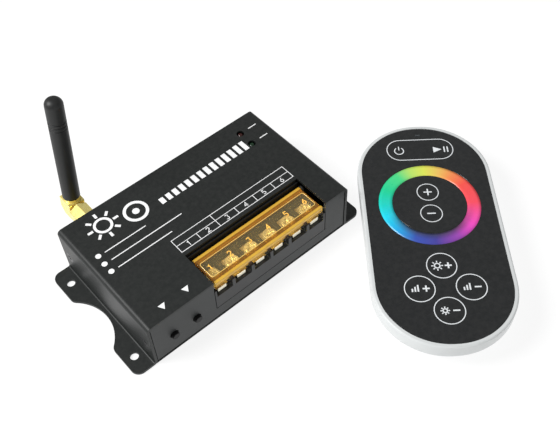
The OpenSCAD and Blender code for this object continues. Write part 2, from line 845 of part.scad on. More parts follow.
module sleeve_section() {
    difference() {
        union() {
            square([sleeve_d / 2, sleeve_l - sleeve_top_r]);
            square([sleeve_d / 2 - sleeve_top_r, sleeve_l]);
            translate([sleeve_d / 2 - sleeve_top_r, sleeve_l - sleeve_top_r]) intersection() {
                circle(sleeve_top_r);
                square([sleeve_top_r, sleeve_top_r]);
            }
        }
        translate([-cut, -cut]) square([spigot_d / 2 + run_fit + cut, spigot_h + slip_fit + cut]);
        translate([-cut, -cut]) square([sleeve_bore_d / 2 + cut, sleeve_l - sleeve_top_wall + cut]);
        for (k = [0 : groove_count - 1])
            translate([sleeve_d / 2 - groove_h, sleeve_l - groove_top - k * groove_step - groove_w / 2])
                square([groove_h + cut, groove_w]);
    }
}

module antenna_sleeve() {
    color("#2b2d2e") antenna_frame() translate([0, rod_y, sleeve_z]) rotate_extrude() sleeve_section();
}

module antenna_element() {
    color("#c98f4a") antenna_frame() translate([0, rod_y, sleeve_z + spigot_h]) {
        cylinder(d = element_d, h = element_l);
        translate([0, 0, element_l / 2]) cylinder(d = loading_coil_d, h = loading_coil_l);
    }
}

module rf_module() {
    board_lift = board_top + module_lift;
    color("#22506e") translate([jack_x, module_y, 0]) {
        translate([-module_l / 2, -module_w / 2, board_lift]) cube([module_l, module_w, module_t]);
        translate([-module_l / 2, -module_w / 2, board_top])
            cube([header_w, module_w, module_lift + module_t / 2]);
        translate([-shield_l / 2 + header_w / 2, -module_w / 2 + header_w / 4, board_lift])
            cube([shield_l, shield_w, module_t + shield_h]);
        translate([0, coax_plug_y - module_y, board_lift])
            cylinder(d = coax_plug_d, h = module_t + coax_plug_h);
    }
}

// Coax lead inside the case, from the connector's tail down to the radio module.
// Route points are across the case and up, in its own plane.
coax_end = [coax_plug_y, board_top + module_lift + module_t + coax_plug_h];
coax_route_shares = [
    [0, 0], [0.2, 0], [0.4, 0.02], [0.58, 0.08], [0.74, 0.2], [0.87, 0.38], [0.96, 0.6], [1, 0.8], [1, 1]
];
coax_sides = 8;
function coax_point(i) = [
    coax_start[0] + (coax_end[0] - coax_start[0]) * coax_route_shares[i][0],
    coax_start[1] + (coax_end[1] - coax_start[1]) * coax_route_shares[i][1]
];
function coax_dir(i) = let (
    n = len(coax_route_shares) - 1,
    d = i == 0 ? [-1, 0] : i == n ? [0, -1] : coax_point(i + 1) - coax_point(i - 1)
) d / norm(d);

module coax_lead() {
    n = len(coax_route_shares);
    pts = [for (i = [0 : n - 1], k = [0 : coax_sides - 1]) let (
        a = 360 * k / coax_sides, p = coax_point(i), d = coax_dir(i), r = coax_d / 2
    ) [r * cos(a), p[0] - d[1] * r * sin(a), p[1] + d[0] * r * sin(a)]];
    sides = [for (i = [0 : n - 2], k = [0 : coax_sides - 1]) let (
        a = i * coax_sides + k, b = i * coax_sides + (k + 1) % coax_sides
    ) each [[a, b, b + coax_sides], [a, b + coax_sides, a + coax_sides]]];
    last = (n - 1) * coax_sides;
    caps = [[for (k = [coax_sides - 1 : -1 : 0]) k], [for (k = [0 : coax_sides - 1]) last + k]];
    color("#6b5a3c") translate([jack_x, 0, 0]) polyhedron(pts, concat(sides, caps));
}

module microcontroller() {
    color("#17181a") translate([chip_x, chip_y, board_top]) {
        translate([-chip_l / 2, -chip_w / 2, 0]) cube([chip_l, chip_w, chip_h]);
        for (k = [0 : chip_legs - 1])
            translate([(k - (chip_legs - 1) / 2) * chip_leg_step, 0, chip_leg_w / 2])
                cube([chip_leg_w, chip_w + 2 * chip_leg_l, chip_leg_w], center = true);
    }
}

module power_transistors() {
    color("#1b1c1e") for (k = [0 : fet_count - 1]) at_way(ways - 1 - k) translate([0, fet_y, board_top]) {
        translate([-fet_w / 2, -fet_l / 2, 0]) cube([fet_w, fet_l, fet_h]);
        translate([-fet_w / 2, fet_l / 2, 0]) cube([fet_w, fet_tab_l, fet_tab_t]);
        for (s = [-1, 1])
            translate([s * fet_leg_step - fet_leg_w / 2, -fet_l / 2 - fet_leg_l, 0])
                cube([fet_leg_w, fet_leg_l + cut, fet_tab_t]);
    }
}

module capacitors() {
    color("#27303f") for (k = [0, 1]) translate([cap_x + k * cap_step, cap_y, board_top]) rotate_extrude()
        difference() {
            square([cap_d / 2, cap_h]);
            translate([cap_d / 2, cap_groove_z]) circle(cap_groove);
        }
}

module regulator() {
    color("#1b1c1e") translate([reg_x, reg_y, board_top]) {
        translate([-reg_l / 2, -reg_w / 2, 0]) cube([reg_l, reg_w, reg_h]);
        translate([-reg_tab_w / 2, reg_w / 2, 0]) cube([reg_tab_w, reg_tab_l, reg_tab_t]);
        for (s = [-1, 0, 1])
            translate([s * fet_leg_step - fet_leg_w / 2, -reg_w / 2 - reg_tab_l, 0])
                cube([fet_leg_w, reg_tab_l, reg_tab_t]);
    }
}

// Children in the remote's own frame: long axis X, middle at the origin, back at zero
module remote_frame() {
    translate([remote_x, remote_y, 0]) rotate([0, 0, remote_turn]) children();
}

// Flat slice of the remote's plan, grown from its core rectangle by radius r
module remote_prism(r, z0, z1) {
    translate([0, 0, z0]) linear_extrude(z1 - z0) round_rect(2 * (core_x + r), 2 * (core_y + r), r);
}

// Solid with the remote's plan whose edge follows a half section (radius, height)
module remote_solid(z0, z1) {
    for (sx = [0, 1], sy = [0, 1]) mirror([sx, 0, 0]) mirror([0, sy, 0])
        translate([core_x, core_y, 0]) rotate_extrude(angle = corner_turn) children();
    rotate([90, 0, 90]) linear_extrude(2 * core_x, center = true) {
        for (s = [0, 1]) mirror([s, 0]) translate([core_y, 0]) children();
        translate([-core_y, z0]) square([2 * core_y, z1 - z0]);
    }
    rotate([90, 0, 0]) linear_extrude(2 * core_y, center = true)
        for (s = [0, 1]) mirror([s, 0]) translate([core_x, 0]) children();
}

// Half section of the remote's edge
module slab_section(z0, z1) {
    intersection() {
        union() {
            translate([0, slab_z + slab_edge_r]) square([body_r, slab_t - slab_edge_r - slab_top_r]);
            translate([0, slab_z]) square([body_r - slab_edge_r, slab_t]);
            translate([body_r - slab_edge_r, slab_z + slab_edge_r]) circle(slab_edge_r);
            translate([0, slab_z + slab_edge_r]) square([body_r - slab_top_r, slab_t - slab_edge_r]);
            translate([body_r - slab_top_r, remote_t - slab_top_r]) circle(slab_top_r);
        }
        translate([0, z0]) square([body_r + cut, z1 - z0]);
    }
}

// Half section of the narrower back, drawn in by d for its inside
module back_section(d) {
    polygon([
        [0, d], [body_r - back_foot_inset - d / 2, d],
        for (p = back_step_points) [body_r - p[0] - d, p[1] + d / 2],
        [body_r - back_top_inset - d, slab_z + d / 2],
        [body_r - back_top_inset - d, slab_z + 2 * d], [0, slab_z + 2 * d]
    ]);
}

module back_solid() {
    remote_solid(0, slab_z) intersection() {
        back_section(0);
        square([body_r, slab_z]);
    }
}

module back_hollow() {
    remote_solid(shell_t, slab_z + 2 * shell_t) back_section(shell_t);
}

module at_remote_screws() {
    for (s = [-1, 1]) translate([remote_screw_x, s * remote_screw_y, 0]) children();
}

module status_slot(grow, z0, z1) {
    translate([slot_x - slot_l / 2 - grow, -slot_w / 2 - grow, z0])
        cube([slot_l + 2 * grow, slot_w + 2 * grow, z1 - z0]);
}

module remote_upper_shell() {
    color("#dfe1e1") remote_frame() {
        difference() {
            remote_solid(part_z, remote_t) slab_section(part_z, remote_t);
            remote_prism(panel_corner_r + slip_fit, panel_z, remote_t + cut);
            remote_prism(shell_in_r, part_z - cut, plate_z);
            status_slot(lens_gap, plate_z - cut, remote_t);
        }
        at_remote_screws() difference() {
            translate([0, 0, part_z + post_gap])
                cylinder(d = post_d, h = plate_z - part_z - post_gap + plate_t / 2);
            translate([0, 0, part_z]) cylinder(r = remote_screw_d / 2 + run_fit, h = plate_z - part_z);
        }
    }
}

// Opening in the back that the battery cover slides over
module door_space(gap) {
    translate([-panel_l, -door_half_w + gap, -cut])
        cube([panel_l + door_x - gap, 2 * (door_half_w - gap), slab_z + cut - gap]);
}

module bulkhead(x) {
    translate([x, -bulkhead_half_w, bulkhead_z])
        cube([bulkhead_t, 2 * bulkhead_half_w, part_z - bulkhead_z]);
}

// Room that the bulkheads keep to: clear of the back's walls, and carried by its shoulder
module bulkhead_room() {
    remote_solid(bulkhead_z, slab_z + 2 * bulkhead_z) back_section(bulkhead_z);
    remote_prism(body_r - back_top_inset - shell_t / 2, slab_z, part_z);
}

module remote_lower_shell() {
    near_x = cell_x - cell_l / 2 - cell_end_gap - contact_plate_t - bulkhead_t;
    far_x = cell_x + cell_l / 2 + cell_end_gap + contact_plate_t;
    color("#d6d9d9") remote_frame() difference() {
        union() {
            difference() {
                union() {
                    remote_solid(slab_z, part_z) slab_section(slab_z, part_z);
                    back_solid();
                }
                back_hollow();
                remote_prism(floor_in_r, slab_z + shell_t, part_z + cut);
                door_space(0);
            }
            intersection() {
                union() {
                    bulkhead(near_x);
                    bulkhead(far_x);
                }
                bulkhead_room();
            }
            at_remote_screws() cylinder(d = post_d, h = part_z);
        }
        at_remote_screws() {
            translate([0, 0, -cut]) cylinder(r = remote_screw_head_d / 2 + slip_fit,
                h = remote_screw_set + remote_screw_head_h + cut);
            cylinder(r = remote_screw_d / 2 + slip_fit, h = part_z + cut);
        }
    }
}

module battery_cover() {
    color("#d0d3d3") remote_frame() difference() {
        intersection() {
            back_solid();
            door_space(door_gap);
        }
        back_hollow();
    }
}

module touch_panel() {
    color("#34373a") remote_frame() difference() {
        remote_prism(panel_corner_r, panel_z, panel_z + panel_t);
        translate([ring_x, 0, panel_z + panel_t - ring_groove_h]) difference() {
            cylinder(r = ring_outer_r, h = cut, $fn = 96);
            translate([0, 0, -cut]) cylinder(r = ring_inner_r, h = 3 * cut, $fn = 96);
        }
        status_slot(lens_gap, panel_z - cut, remote_t);
    }
}

module touch_pcb() {
    color("#1f6b3c") remote_frame() difference() {
        remote_prism(pcb_r, pcb_z, plate_z);
        at_remote_screws() translate([0, 0, pcb_z - cut])
            cylinder(r = post_d / 2 + free_fit, h = pcb_t + 2 * cut);
    }
}

module remote_chips() {
    color("#17181a") remote_frame() {
        translate([remote_chip_x - remote_chip_l / 2, -remote_chip_w / 2, pcb_z - remote_chip_h])
            cube([remote_chip_l, remote_chip_w, remote_chip_h]);
        translate([radio_chip_x - radio_chip_w / 2, -radio_chip_w / 2, pcb_z - radio_chip_h])
            cube([radio_chip_w, radio_chip_w, radio_chip_h]);
    }
}

module status_led() {
    color("#c9d8dc") remote_frame() status_slot(0, plate_z, panel_z + panel_t);
}

module at_cells() {
    for (k = [0 : cell_count - 1])
        translate([cell_x, (k - (cell_count - 1) / 2) * cell_step, cell_z])
            rotate([0, 0, 180 * (k % 2)]) children();
}

module remote_batteries() {
    color("#3d6f9e") remote_frame() at_cells() rotate([0, 90, 0]) {
        translate([0, 0, -cell_l / 2]) cylinder(d = cell_d, h = cell_l - cell_nub_l);
        cylinder(d = cell_nub_d, h = cell_l / 2);
    }
}

module battery_contacts() {
    color("#c9ccce") remote_frame() {
        for (s = [-1, 1])
            translate([cell_x + s * (cell_l / 2 + cell_end_gap + contact_plate_t / 2), 0, cell_z])
                cube([contact_plate_t, 2 * door_half_w - cell_d / 2, contact_plate_h], center = true);
        at_cells() translate([-cell_l / 2 - cell_end_gap, 0, 0]) rotate([0, 90, 0])
            cylinder(d = contact_spring_d, h = cell_end_gap);
        at_cells() translate([cell_l / 2, 0, 0]) rotate([0, 90, 0])
            cylinder(d = cell_nub_d, h = cell_end_gap);
    }
}

module remote_screws() {
    color("#a9adaf") remote_frame() at_remote_screws() translate([0, 0, remote_screw_set]) difference() {
        union() {
            cylinder(d = remote_screw_head_d, h = remote_screw_head_h);
            cylinder(d = remote_screw_d, h = remote_screw_l);
        }
        cube([remote_screw_head_d / 2, remote_screw_d / 4, remote_screw_head_h], center = true);
        cube([remote_screw_d / 4, remote_screw_head_d / 2, remote_screw_head_h], center = true);
    }
}

top_cover();
base_tray();
case_screws();
pcb_standoffs();
pcb_screws();
insulation_sheet();
main_pcb();
terminal_housing();
terminal_contacts();
terminal_cover();
clamp_plate(0);  // clamp_plate_1
clamp_plate(1);  // clamp_plate_2
clamp_plate(2);  // clamp_plate_3
clamp_plate(3);  // clamp_plate_4
clamp_plate(4);  // clamp_plate_5
clamp_plate(5);  // clamp_plate_6
terminal_screw(0);  // terminal_screw_1
terminal_screw(1);  // terminal_screw_2
terminal_screw(2);  // terminal_screw_3
terminal_screw(3);  // terminal_screw_4
terminal_screw(4);  // terminal_screw_5
terminal_screw(5);  // terminal_screw_6
push_button(-1);  // function_button
push_button(1);  // match_button
tact_switches();
color("#b5392f") indicator(1);  // power_led
color("#3c8a4c") indicator(-1);  // signal_led
led_leads();
antenna_jack();
jack_washer();
jack_nut();
antenna_coupling_nut();
antenna_elbow();
antenna_sleeve();
antenna_element();
rf_module();
coax_lead();
microcontroller();
power_transistors();
capacitors();
regulator();
remote_upper_shell();
remote_lower_shell();
touch_panel();
touch_pcb();
remote_chips();
status_led();
remote_batteries();
battery_contacts();
battery_cover();
remote_screws();
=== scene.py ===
import json
import math

import bmesh
import bpy
from mathutils import Matrix, Vector


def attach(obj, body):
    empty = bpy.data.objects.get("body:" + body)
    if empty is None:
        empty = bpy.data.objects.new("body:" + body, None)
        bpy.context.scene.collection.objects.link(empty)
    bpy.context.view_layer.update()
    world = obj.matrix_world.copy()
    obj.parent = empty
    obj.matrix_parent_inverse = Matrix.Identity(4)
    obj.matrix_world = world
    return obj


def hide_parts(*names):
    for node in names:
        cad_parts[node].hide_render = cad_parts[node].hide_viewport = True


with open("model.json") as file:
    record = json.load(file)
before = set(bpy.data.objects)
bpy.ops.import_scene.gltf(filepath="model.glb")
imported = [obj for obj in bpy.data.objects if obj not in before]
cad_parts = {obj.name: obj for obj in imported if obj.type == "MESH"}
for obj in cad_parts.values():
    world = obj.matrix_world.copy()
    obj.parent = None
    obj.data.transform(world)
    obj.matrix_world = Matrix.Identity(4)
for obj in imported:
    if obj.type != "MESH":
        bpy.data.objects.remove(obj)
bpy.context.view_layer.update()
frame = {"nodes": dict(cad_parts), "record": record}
MM = 0.001

# The photograph's camera, solved from the straight edges of the case: degrees, millimetres, metres and pixels
VIEW_AZIMUTH, VIEW_ELEVATION, VIEW_ROLL = -39.44, 51.64, -2.31
VIEW_TARGET = (32.02, -7.79, 0.0)
VIEW_DISTANCE = 0.3507
SENSOR_WIDTH = 36
FOCAL_PIXELS, PHOTO_WIDTH = 819.1, 560
NEAREST, FARTHEST = 0.01, 20

# The studio, in metres: softboxes are (place, aim, size, watts); the air's strength is as light, then as seen
KEY_SOFTBOX = (-0.52, 0.26, 0.68), (0.03, -0.03, 0.0), 0.4, 7.2
FRONT_SOFTBOX = (-0.10, -0.85, 0.45), (0.03, -0.05, 0.0), 0.6, 0.3
AIR_LIGHT, AIR_WHITE = 0.38, 1.0
FLOOR_HALF = 3.0
PAPER_GLOW = 0.84

# The case and its terminals, the shaded patch under it and the floor's drop below it, in millimetres
CASE_TOP = 24.0
SHADE_HALF_L, SHADE_HALF_W = 49.45, 29.85
FLOOR_DROP = 0.05
BLOCK_X = 9.2
PITCH = 9.5
TERMINALS = 6
LIP_FRONT = -28.05

# The amber cover, in millimetres, but for the reach of its cuts, in metres
COVER_Z = 20.55
COVER_TOP = 21.95
COVER_HALF_L = 27.15
COVER_FRONT = -29.4
RIDGE_REAR = -28.1
WINDOW_FRONT, WINDOW_REAR = -26.3, -18.3
WINDOW_HALF_L = 26.25
WINDOW_CORNER = 1.0
BARREL_MIDDLE = -16.4
BEAD_RADIUS = 0.15
BEAD_SEGMENTS = 3
BEAD_INSET = 0.16
RIDGE_LIFT = 0.1
CUT_REACH = 1e-7

# The remote, in millimetres and degrees, with places along it counted from its middle
REMOTE_X, REMOTE_Y, REMOTE_TURN = 64.8, -63.2, 50.4
PANEL_TOP = 17.4
RING_FLOOR = 17.2
RING_S = 11.3
RING_OUTER, RING_INNER = 20.7, 14.8
RING_MARGIN = 0.22
RING_STEPS, RING_ROWS = 120, 4
FILM = 0.03
RING_SHADE = 3.4

# Print, in millimetres: the marks' heights, how deep the cover's numerals start, how much a stroke that crosses
# another lies above it, and the numerals' strokes and sizes
CASE_PRINT, PANEL_PRINT, COVER_PRINT = 0.03, 0.02, 0.11
COVER_PRINT_FOOT = 0.12
LAYER_STEP = 0.006
TABLE_DIGIT, COVER_DIGIT = (0.22, 1.45), (0.24, 1.6)
SUN_RAYS = 8
SHARPEST_MITRE, TINY = 0.4, 1e-6

# Broken edges: welds in metres, angles in degrees
WELD_BEFORE, WELD_AFTER = 2e-6, 1e-6
FLAT_ANGLE, EDGE_ANGLE = 0.5, 30
SMOOTH_ANGLE, PRINT_ANGLE, BEAD_ANGLE = 35, 30, 50
EDGE_SEGMENTS, EDGE_ROUND = 2, 0.5
EDGE_WIDTHS = {
    "top_cover": 0.22, "base_tray": 0.2, "case_screws": 0.12, "terminal_housing": 0.18, "terminal_cover": 0.22,
    "terminal_contacts": 0.08, "function_button": 0.3, "match_button": 0.3, "antenna_coupling_nut": 0.3,
    "antenna_elbow": 0.3, "jack_nut": 0.25, "jack_washer": 0.1, "antenna_sleeve": 0.12, "touch_panel": 0.22,
    "remote_upper_shell": 0.15, "remote_lower_shell": 0.15, "battery_cover": 0.15, "remote_screws": 0.1,
}
for number in range(1, TERMINALS + 1):
    EDGE_WIDTHS["clamp_plate_%d" % number] = 0.18
    EDGE_WIDTHS["terminal_screw_%d" % number] = 0.2

NODE_BODY = {n: b for b, nodes in frame["record"]["behaviour"]["bodies"].items() for n in nodes}
NODE_SLOT = {s["node"]: s["material_slot"] for s in frame["record"]["subparts"]}


def on_top(x, y, z):
    """A point over the case's top, in metres."""
    return Vector((x, y, CASE_TOP + z)) * MM


def on_cover(x, y, z):
    """A point just inside the top of the amber cover's window, in metres."""
    return Vector((x, y, COVER_TOP - COVER_PRINT_FOOT + z)) * MM


def on_remote(s, lateral, z):
    """A point of the remote, along it, across it and up, in metres in the case's frame."""
    turn = math.radians(REMOTE_TURN)
    return Vector((REMOTE_X + s * math.cos(turn) - lateral * math.sin(turn),
                   REMOTE_Y + s * math.sin(turn) + lateral * math.cos(turn), z)) * MM


def on_panel(x, y, z):
    """x is to the right and y up as the remote is read, so y runs along it."""
    return on_remote(y, -x, PANEL_TOP + z)


# ---------------------------------------------------------------- node helpers

FLOAT, COLOUR, VECTOR = "NodeSocketFloat", "NodeSocketColor", "NodeSocketVector"


def feed(tree, source, socket):
    """Links another node's output to a socket, or sets the socket's plain value."""
    if isinstance(source, bpy.types.NodeSocket):
        tree.links.new(source, socket)
    else:
        socket.default_value = source


def add(tree, kind, inputs=None, **settings):
    """A node with its settings. inputs gives a socket, by name or number, its value or its source."""
    made = tree.nodes.new(kind)
    for key, value in settings.items():
        setattr(made, key, value)
    for key, source in (inputs or {}).items():
        feed(tree, source, made.inputs[key])
    return made


def calc(tree, operation, *terms, clamp=False):
    """The result of one Math node."""
    return add(tree, "ShaderNodeMath", dict(enumerate(terms)), operation=operation, use_clamp=clamp).outputs[0]


def vector_calc(tree, operation, *terms):
    """The vector that one Vector Math node gives."""
    return add(tree, "ShaderNodeVectorMath", dict(enumerate(terms)), operation=operation).outputs[0]


def object_place(tree):
    """The place on the piece, in metres in its own frame."""
    return add(tree, "ShaderNodeTexCoord").outputs["Object"]


def noise(tree, place, scale, detail, roughness):
    return add(tree, "ShaderNodeTexNoise", {"Vector": place, "Scale": scale, "Detail": detail,
                                            "Roughness": roughness}).outputs["Fac"]


def widen(tree, value, low, high):
    """Spreads the values between low and high over 0 to 1."""
    return add(tree, "ShaderNodeMapRange", {"Value": value, "From Min": low, "From Max": high}).outputs["Result"]


def mix_colours(tree, share, first, second):
    """The first colour, with the given share of the second."""
    return add(tree, "ShaderNodeMix", {0: share, 6: first, 7: second}, data_type="RGBA").outputs[2]


def new_group(name, inputs, output):
    """An empty shader node group. inputs are (name, kind, value) and output is (name, kind)."""
    tree = bpy.data.node_groups.new(name, "ShaderNodeTree")
    for label, kind, value in inputs:
        tree.interface.new_socket(label, in_out="INPUT", socket_type=kind).default_value = value
    label, kind = output
    tree.interface.new_socket(label, in_out="OUTPUT", socket_type=kind)
    return tree, tree.nodes.new("NodeGroupInput").outputs, tree.nodes.new("NodeGroupOutput").inputs[label]


def use_group(tree, group, inputs):
    """The output of a shader node group placed in a material."""
    return add(tree, "ShaderNodeGroup", inputs, node_tree=group).outputs[0]


# ---------------------------------------------------------------- surface effects

def make_mottle():
    """Slow drift of the colour over a surface, as paint and plastic have."""
    tree, given, result = new_group("surface_mottle", [
        ("Colour", COLOUR, (0.5, 0.5, 0.5, 1)), ("Second Colour", COLOUR, (0.4, 0.4, 0.4, 1)),
        ("Scale", FLOAT, 60.0), ("Amount", FLOAT, 0.5)], ("Colour", COLOUR))
    drift = widen(tree, noise(tree, object_place(tree), given["Scale"], detail=4.0, roughness=0.6),
                  low=0.35, high=0.65)
    share = calc(tree, "MULTIPLY", drift, given["Amount"])
    feed(tree, mix_colours(tree, share, given["Colour"], given["Second Colour"]), result)
    return tree


def make_gloss_drift():
    """Roughness that changes slowly over a surface, with faint handling marks."""
    tree, given, result = new_group("gloss_drift", [
        ("Roughness", FLOAT, 0.4), ("Spread", FLOAT, 0.1), ("Scale", FLOAT, 90.0)], ("Roughness", FLOAT))
    centred = calc(tree, "SUBTRACT", noise(tree, object_place(tree), given["Scale"], detail=5.0, roughness=0.7), 0.5)
    feed(tree, calc(tree, "MULTIPLY_ADD", centred, given["Spread"], given["Roughness"]), result)
    return tree


def make_grain():
    """Height of a fine grain: the orange peel of a coat or the texture of a mould."""
    tree, given, result = new_group("fine_grain", [
        ("Scale", FLOAT, 1500.0), ("Coarse Share", FLOAT, 0.4)], ("Height", FLOAT))
    place = object_place(tree)
    fine = noise(tree, place, given["Scale"], detail=3.0, roughness=0.5)
    coarse_scale = calc(tree, "MULTIPLY", given["Scale"], 0.35)
    coarse = add(tree, "ShaderNodeTexVoronoi", {"Vector": place, "Scale": coarse_scale}, feature="SMOOTH_F1")
    both = add(tree, "ShaderNodeMix", {0: given["Coarse Share"], 2: fine, 3: coarse.outputs["Distance"]},
               data_type="FLOAT")
    feed(tree, both.outputs[0], result)
    return tree


def make_machining():
    """Height of the fine lines left on metal by rolling or turning, along one direction."""
    tree, given, result = new_group("machining_lines", [
        ("Scale", FLOAT, 400.0), ("Stretch", VECTOR, (1.0, 12.0, 12.0))], ("Height", FLOAT))
    stretched = vector_calc(tree, "MULTIPLY", object_place(tree), given["Stretch"])
    feed(tree, noise(tree, stretched, given["Scale"], detail=4.0, roughness=0.65), result)
    return tree


def make_dust():
    """Thin settled dust on faces that look up."""
    tree, given, result = new_group("settled_dust", [
        ("Colour", COLOUR, (0.1, 0.1, 0.1, 1)), ("Dust Colour", COLOUR, (0.45, 0.44, 0.42, 1)),
        ("Amount", FLOAT, 0.05), ("Scale", FLOAT, 500.0)], ("Colour", COLOUR))
    specks = widen(tree, noise(tree, object_place(tree), given["Scale"], detail=6.0, roughness=0.75),
                   low=0.4, high=0.75)
    normal = add(tree, "ShaderNodeNewGeometry").outputs["Normal"]
    facing = add(tree, "ShaderNodeSeparateXYZ", {0: normal}).outputs["Z"]
    share = calc(tree, "MULTIPLY", calc(tree, "MULTIPLY", facing, specks, clamp=True), given["Amount"])
    feed(tree, mix_colours(tree, share, given["Colour"], given["Dust Colour"]), result)
    return tree


def shade(value):
    """A colour given as 0 to 255 screen values, as the shader's own linear numbers."""
    def channel(v):
        v /= 255
        return v / 12.92 if v <= 0.04045 else ((v + 0.055) / 1.055) ** 2.4
    return tuple(channel(v) for v in value) + (1.0,)


# Hues round the touch ring as (share of a turn, colour), from its far end on
DIAL_HUES = [
    (0.00, (210, 218, 82)), (0.055, (226, 182, 88)), (0.10, (234, 136, 76)), (0.16, (236, 78, 70)),
    (0.25, (238, 72, 90)), (0.30, (236, 74, 150)), (0.35, (230, 70, 184)), (0.42, (146, 62, 168)),
    (0.50, (62, 58, 148)), (0.57, (50, 78, 170)), (0.63, (26, 154, 216)), (0.70, (10, 206, 230)),
    (0.75, (8, 200, 188)), (0.82, (12, 198, 140)), (0.90, (70, 208, 128)), (0.95, (176, 216, 98)),
    (1.00, (210, 218, 82))]
RING_SHADE_COLOUR = (46, 48, 52)
# The shade grows from the ring's middle towards its near end, per metre
RING_SHADE_GROWTH = -80.0


def make_dial():
    """Hues round the touch ring, by the angle about its centre, with a soft shade inside its near edge."""
    tree, given, result = new_group("touch_dial", [
        ("Centre", VECTOR, (0.0, 0.0, 0.0)), ("Turn", FLOAT, 0.0), ("Inner Radius", FLOAT, 0.015),
        ("Shade Width", FLOAT, 0.002)], ("Colour", COLOUR))
    from_centre = vector_calc(tree, "SUBTRACT", object_place(tree), given["Centre"])
    turned = add(tree, "ShaderNodeVectorRotate", {"Vector": from_centre, "Angle": given["Turn"]},
                 rotation_type="Z_AXIS").outputs[0]
    parts = add(tree, "ShaderNodeSeparateXYZ", {0: turned}).outputs
    angle = calc(tree, "ARCTAN2", calc(tree, "MULTIPLY", parts["Y"], -1.0), parts["X"])
    turn_share = calc(tree, "FRACT", calc(tree, "DIVIDE", angle, 2 * math.pi))
    ramp = add(tree, "ShaderNodeValToRGB", {0: turn_share})
    stops = ramp.color_ramp.elements
    for stop, (position, colour) in zip((stops[0], stops[1]), (DIAL_HUES[0], DIAL_HUES[-1])):
        stop.position, stop.color = position, shade(colour)
    for position, colour in DIAL_HUES[1:-1]:
        stops.new(position).color = shade(colour)
    flat = vector_calc(tree, "MULTIPLY", turned, (1.0, 1.0, 0.0))
    radius = add(tree, "ShaderNodeVectorMath", {0: flat}, operation="LENGTH").outputs["Value"]
    past_edge = calc(tree, "SUBTRACT", radius, given["Inner Radius"])
    lit = calc(tree, "DIVIDE", past_edge, given["Shade Width"], clamp=True)
    near_side = calc(tree, "MULTIPLY", parts["X"], RING_SHADE_GROWTH, clamp=True)
    shaded = calc(tree, "MULTIPLY", calc(tree, "SUBTRACT", 1.0, lit), near_side)
    feed(tree, mix_colours(tree, shaded, ramp.outputs["Color"], shade(RING_SHADE_COLOUR)), result)
    return tree


MOTTLE, GLOSS, GRAIN, LINES, DUST = make_mottle(), make_gloss_drift(), make_grain(), make_machining(), make_dust()


# ---------------------------------------------------------------- kinds of finish

def new_material(name):
    made = bpy.data.materials.new(name)
    made.use_nodes = True
    return made, made.node_tree, made.node_tree.nodes["Principled BSDF"]


def finish_face(tree, face, colour, roughness, height, strength, depth, **plain):
    """Wires a surface's colour, gloss and relief, depth in millimetres, and sets the shader's plain values."""
    relief = add(tree, "ShaderNodeBump", {"Strength": strength, "Distance": depth * MM, "Height": height})
    feed(tree, colour, face.inputs["Base Color"])
    feed(tree, roughness, face.inputs["Roughness"])
    feed(tree, relief.outputs["Normal"], face.inputs["Normal"])
    for key, value in plain.items():
        face.inputs[key.replace("_", " ")].default_value = value


def moulded(name, colour, second, rough, spread=0.1, grain=1500.0, depth=0.02, mottle=0.4, dust=0.0,
            specular=0.5, coat=0.0):
    """Paint or moulded plastic: drifting colour and gloss, fine grain and a little dust."""
    made, tree, face = new_material(name)
    tint = use_group(tree, MOTTLE, {"Colour": shade(colour), "Second Colour": shade(second), "Amount": mottle})
    if dust:
        tint = use_group(tree, DUST, {"Colour": tint, "Amount": dust})
    gloss = use_group(tree, GLOSS, {"Roughness": rough, "Spread": spread})
    texture = use_group(tree, GRAIN, {"Scale": grain})
    finish_face(tree, face, tint, gloss, texture, strength=0.35, depth=depth, Specular_IOR_Level=specular,
                Coat_Weight=coat, Coat_Roughness=0.08)
    return made


def metal(name, colour, second, rough, stretch=(1.0, 10.0, 10.0), lines=500.0, depth=0.01, metallic=1.0, glow=0.0):
    """Plated or turned metal: machining lines, drifting tint and gloss. A glow stands for light that it catches."""
    made, tree, face = new_material(name)
    tint = use_group(tree, MOTTLE, {"Colour": shade(colour), "Second Colour": shade(second), "Scale": 250.0,
                                    "Amount": 0.5})
    gloss = use_group(tree, GLOSS, {"Roughness": rough, "Spread": 0.2, "Scale": 600.0})
    worked = use_group(tree, LINES, {"Scale": lines, "Stretch": stretch})
    finish_face(tree, face, tint, gloss, worked, strength=0.4, depth=depth, Metallic=metallic)
    light_up(face, colour, glow)
    return made


def clear_plastic(name, colour, second, rough, transmission, glow=0.0, through=0.7, bending=1.45):
    """See-through plastic that lets the share through of the light past to what lies under it."""
    made, tree, face = new_material(name)
    tint = use_group(tree, MOTTLE, {"Colour": shade(colour), "Second Colour": shade(second), "Scale": 150.0,
                                    "Amount": 0.35})
    gloss = use_group(tree, GLOSS, {"Roughness": rough, "Spread": 0.05, "Scale": 200.0})
    ripple = use_group(tree, GRAIN, {"Scale": 220.0, "Coarse Share": 0.2})
    finish_face(tree, face, tint, gloss, ripple, strength=0.3, depth=0.02, Transmission_Weight=transmission,
                IOR=bending)
    light_up(face, colour, glow)
    shadow = add(tree, "ShaderNodeLightPath").outputs["Is Shadow Ray"]
    feed(tree, calc(tree, "MULTIPLY_ADD", shadow, -through, 1.0), face.inputs["Alpha"])
    return made


def light_up(face, colour, glow):
    """An even glow, for a surface that has one."""
    if glow:
        face.inputs["Emission Color"].default_value = shade(colour)
        face.inputs["Emission Strength"].default_value = glow


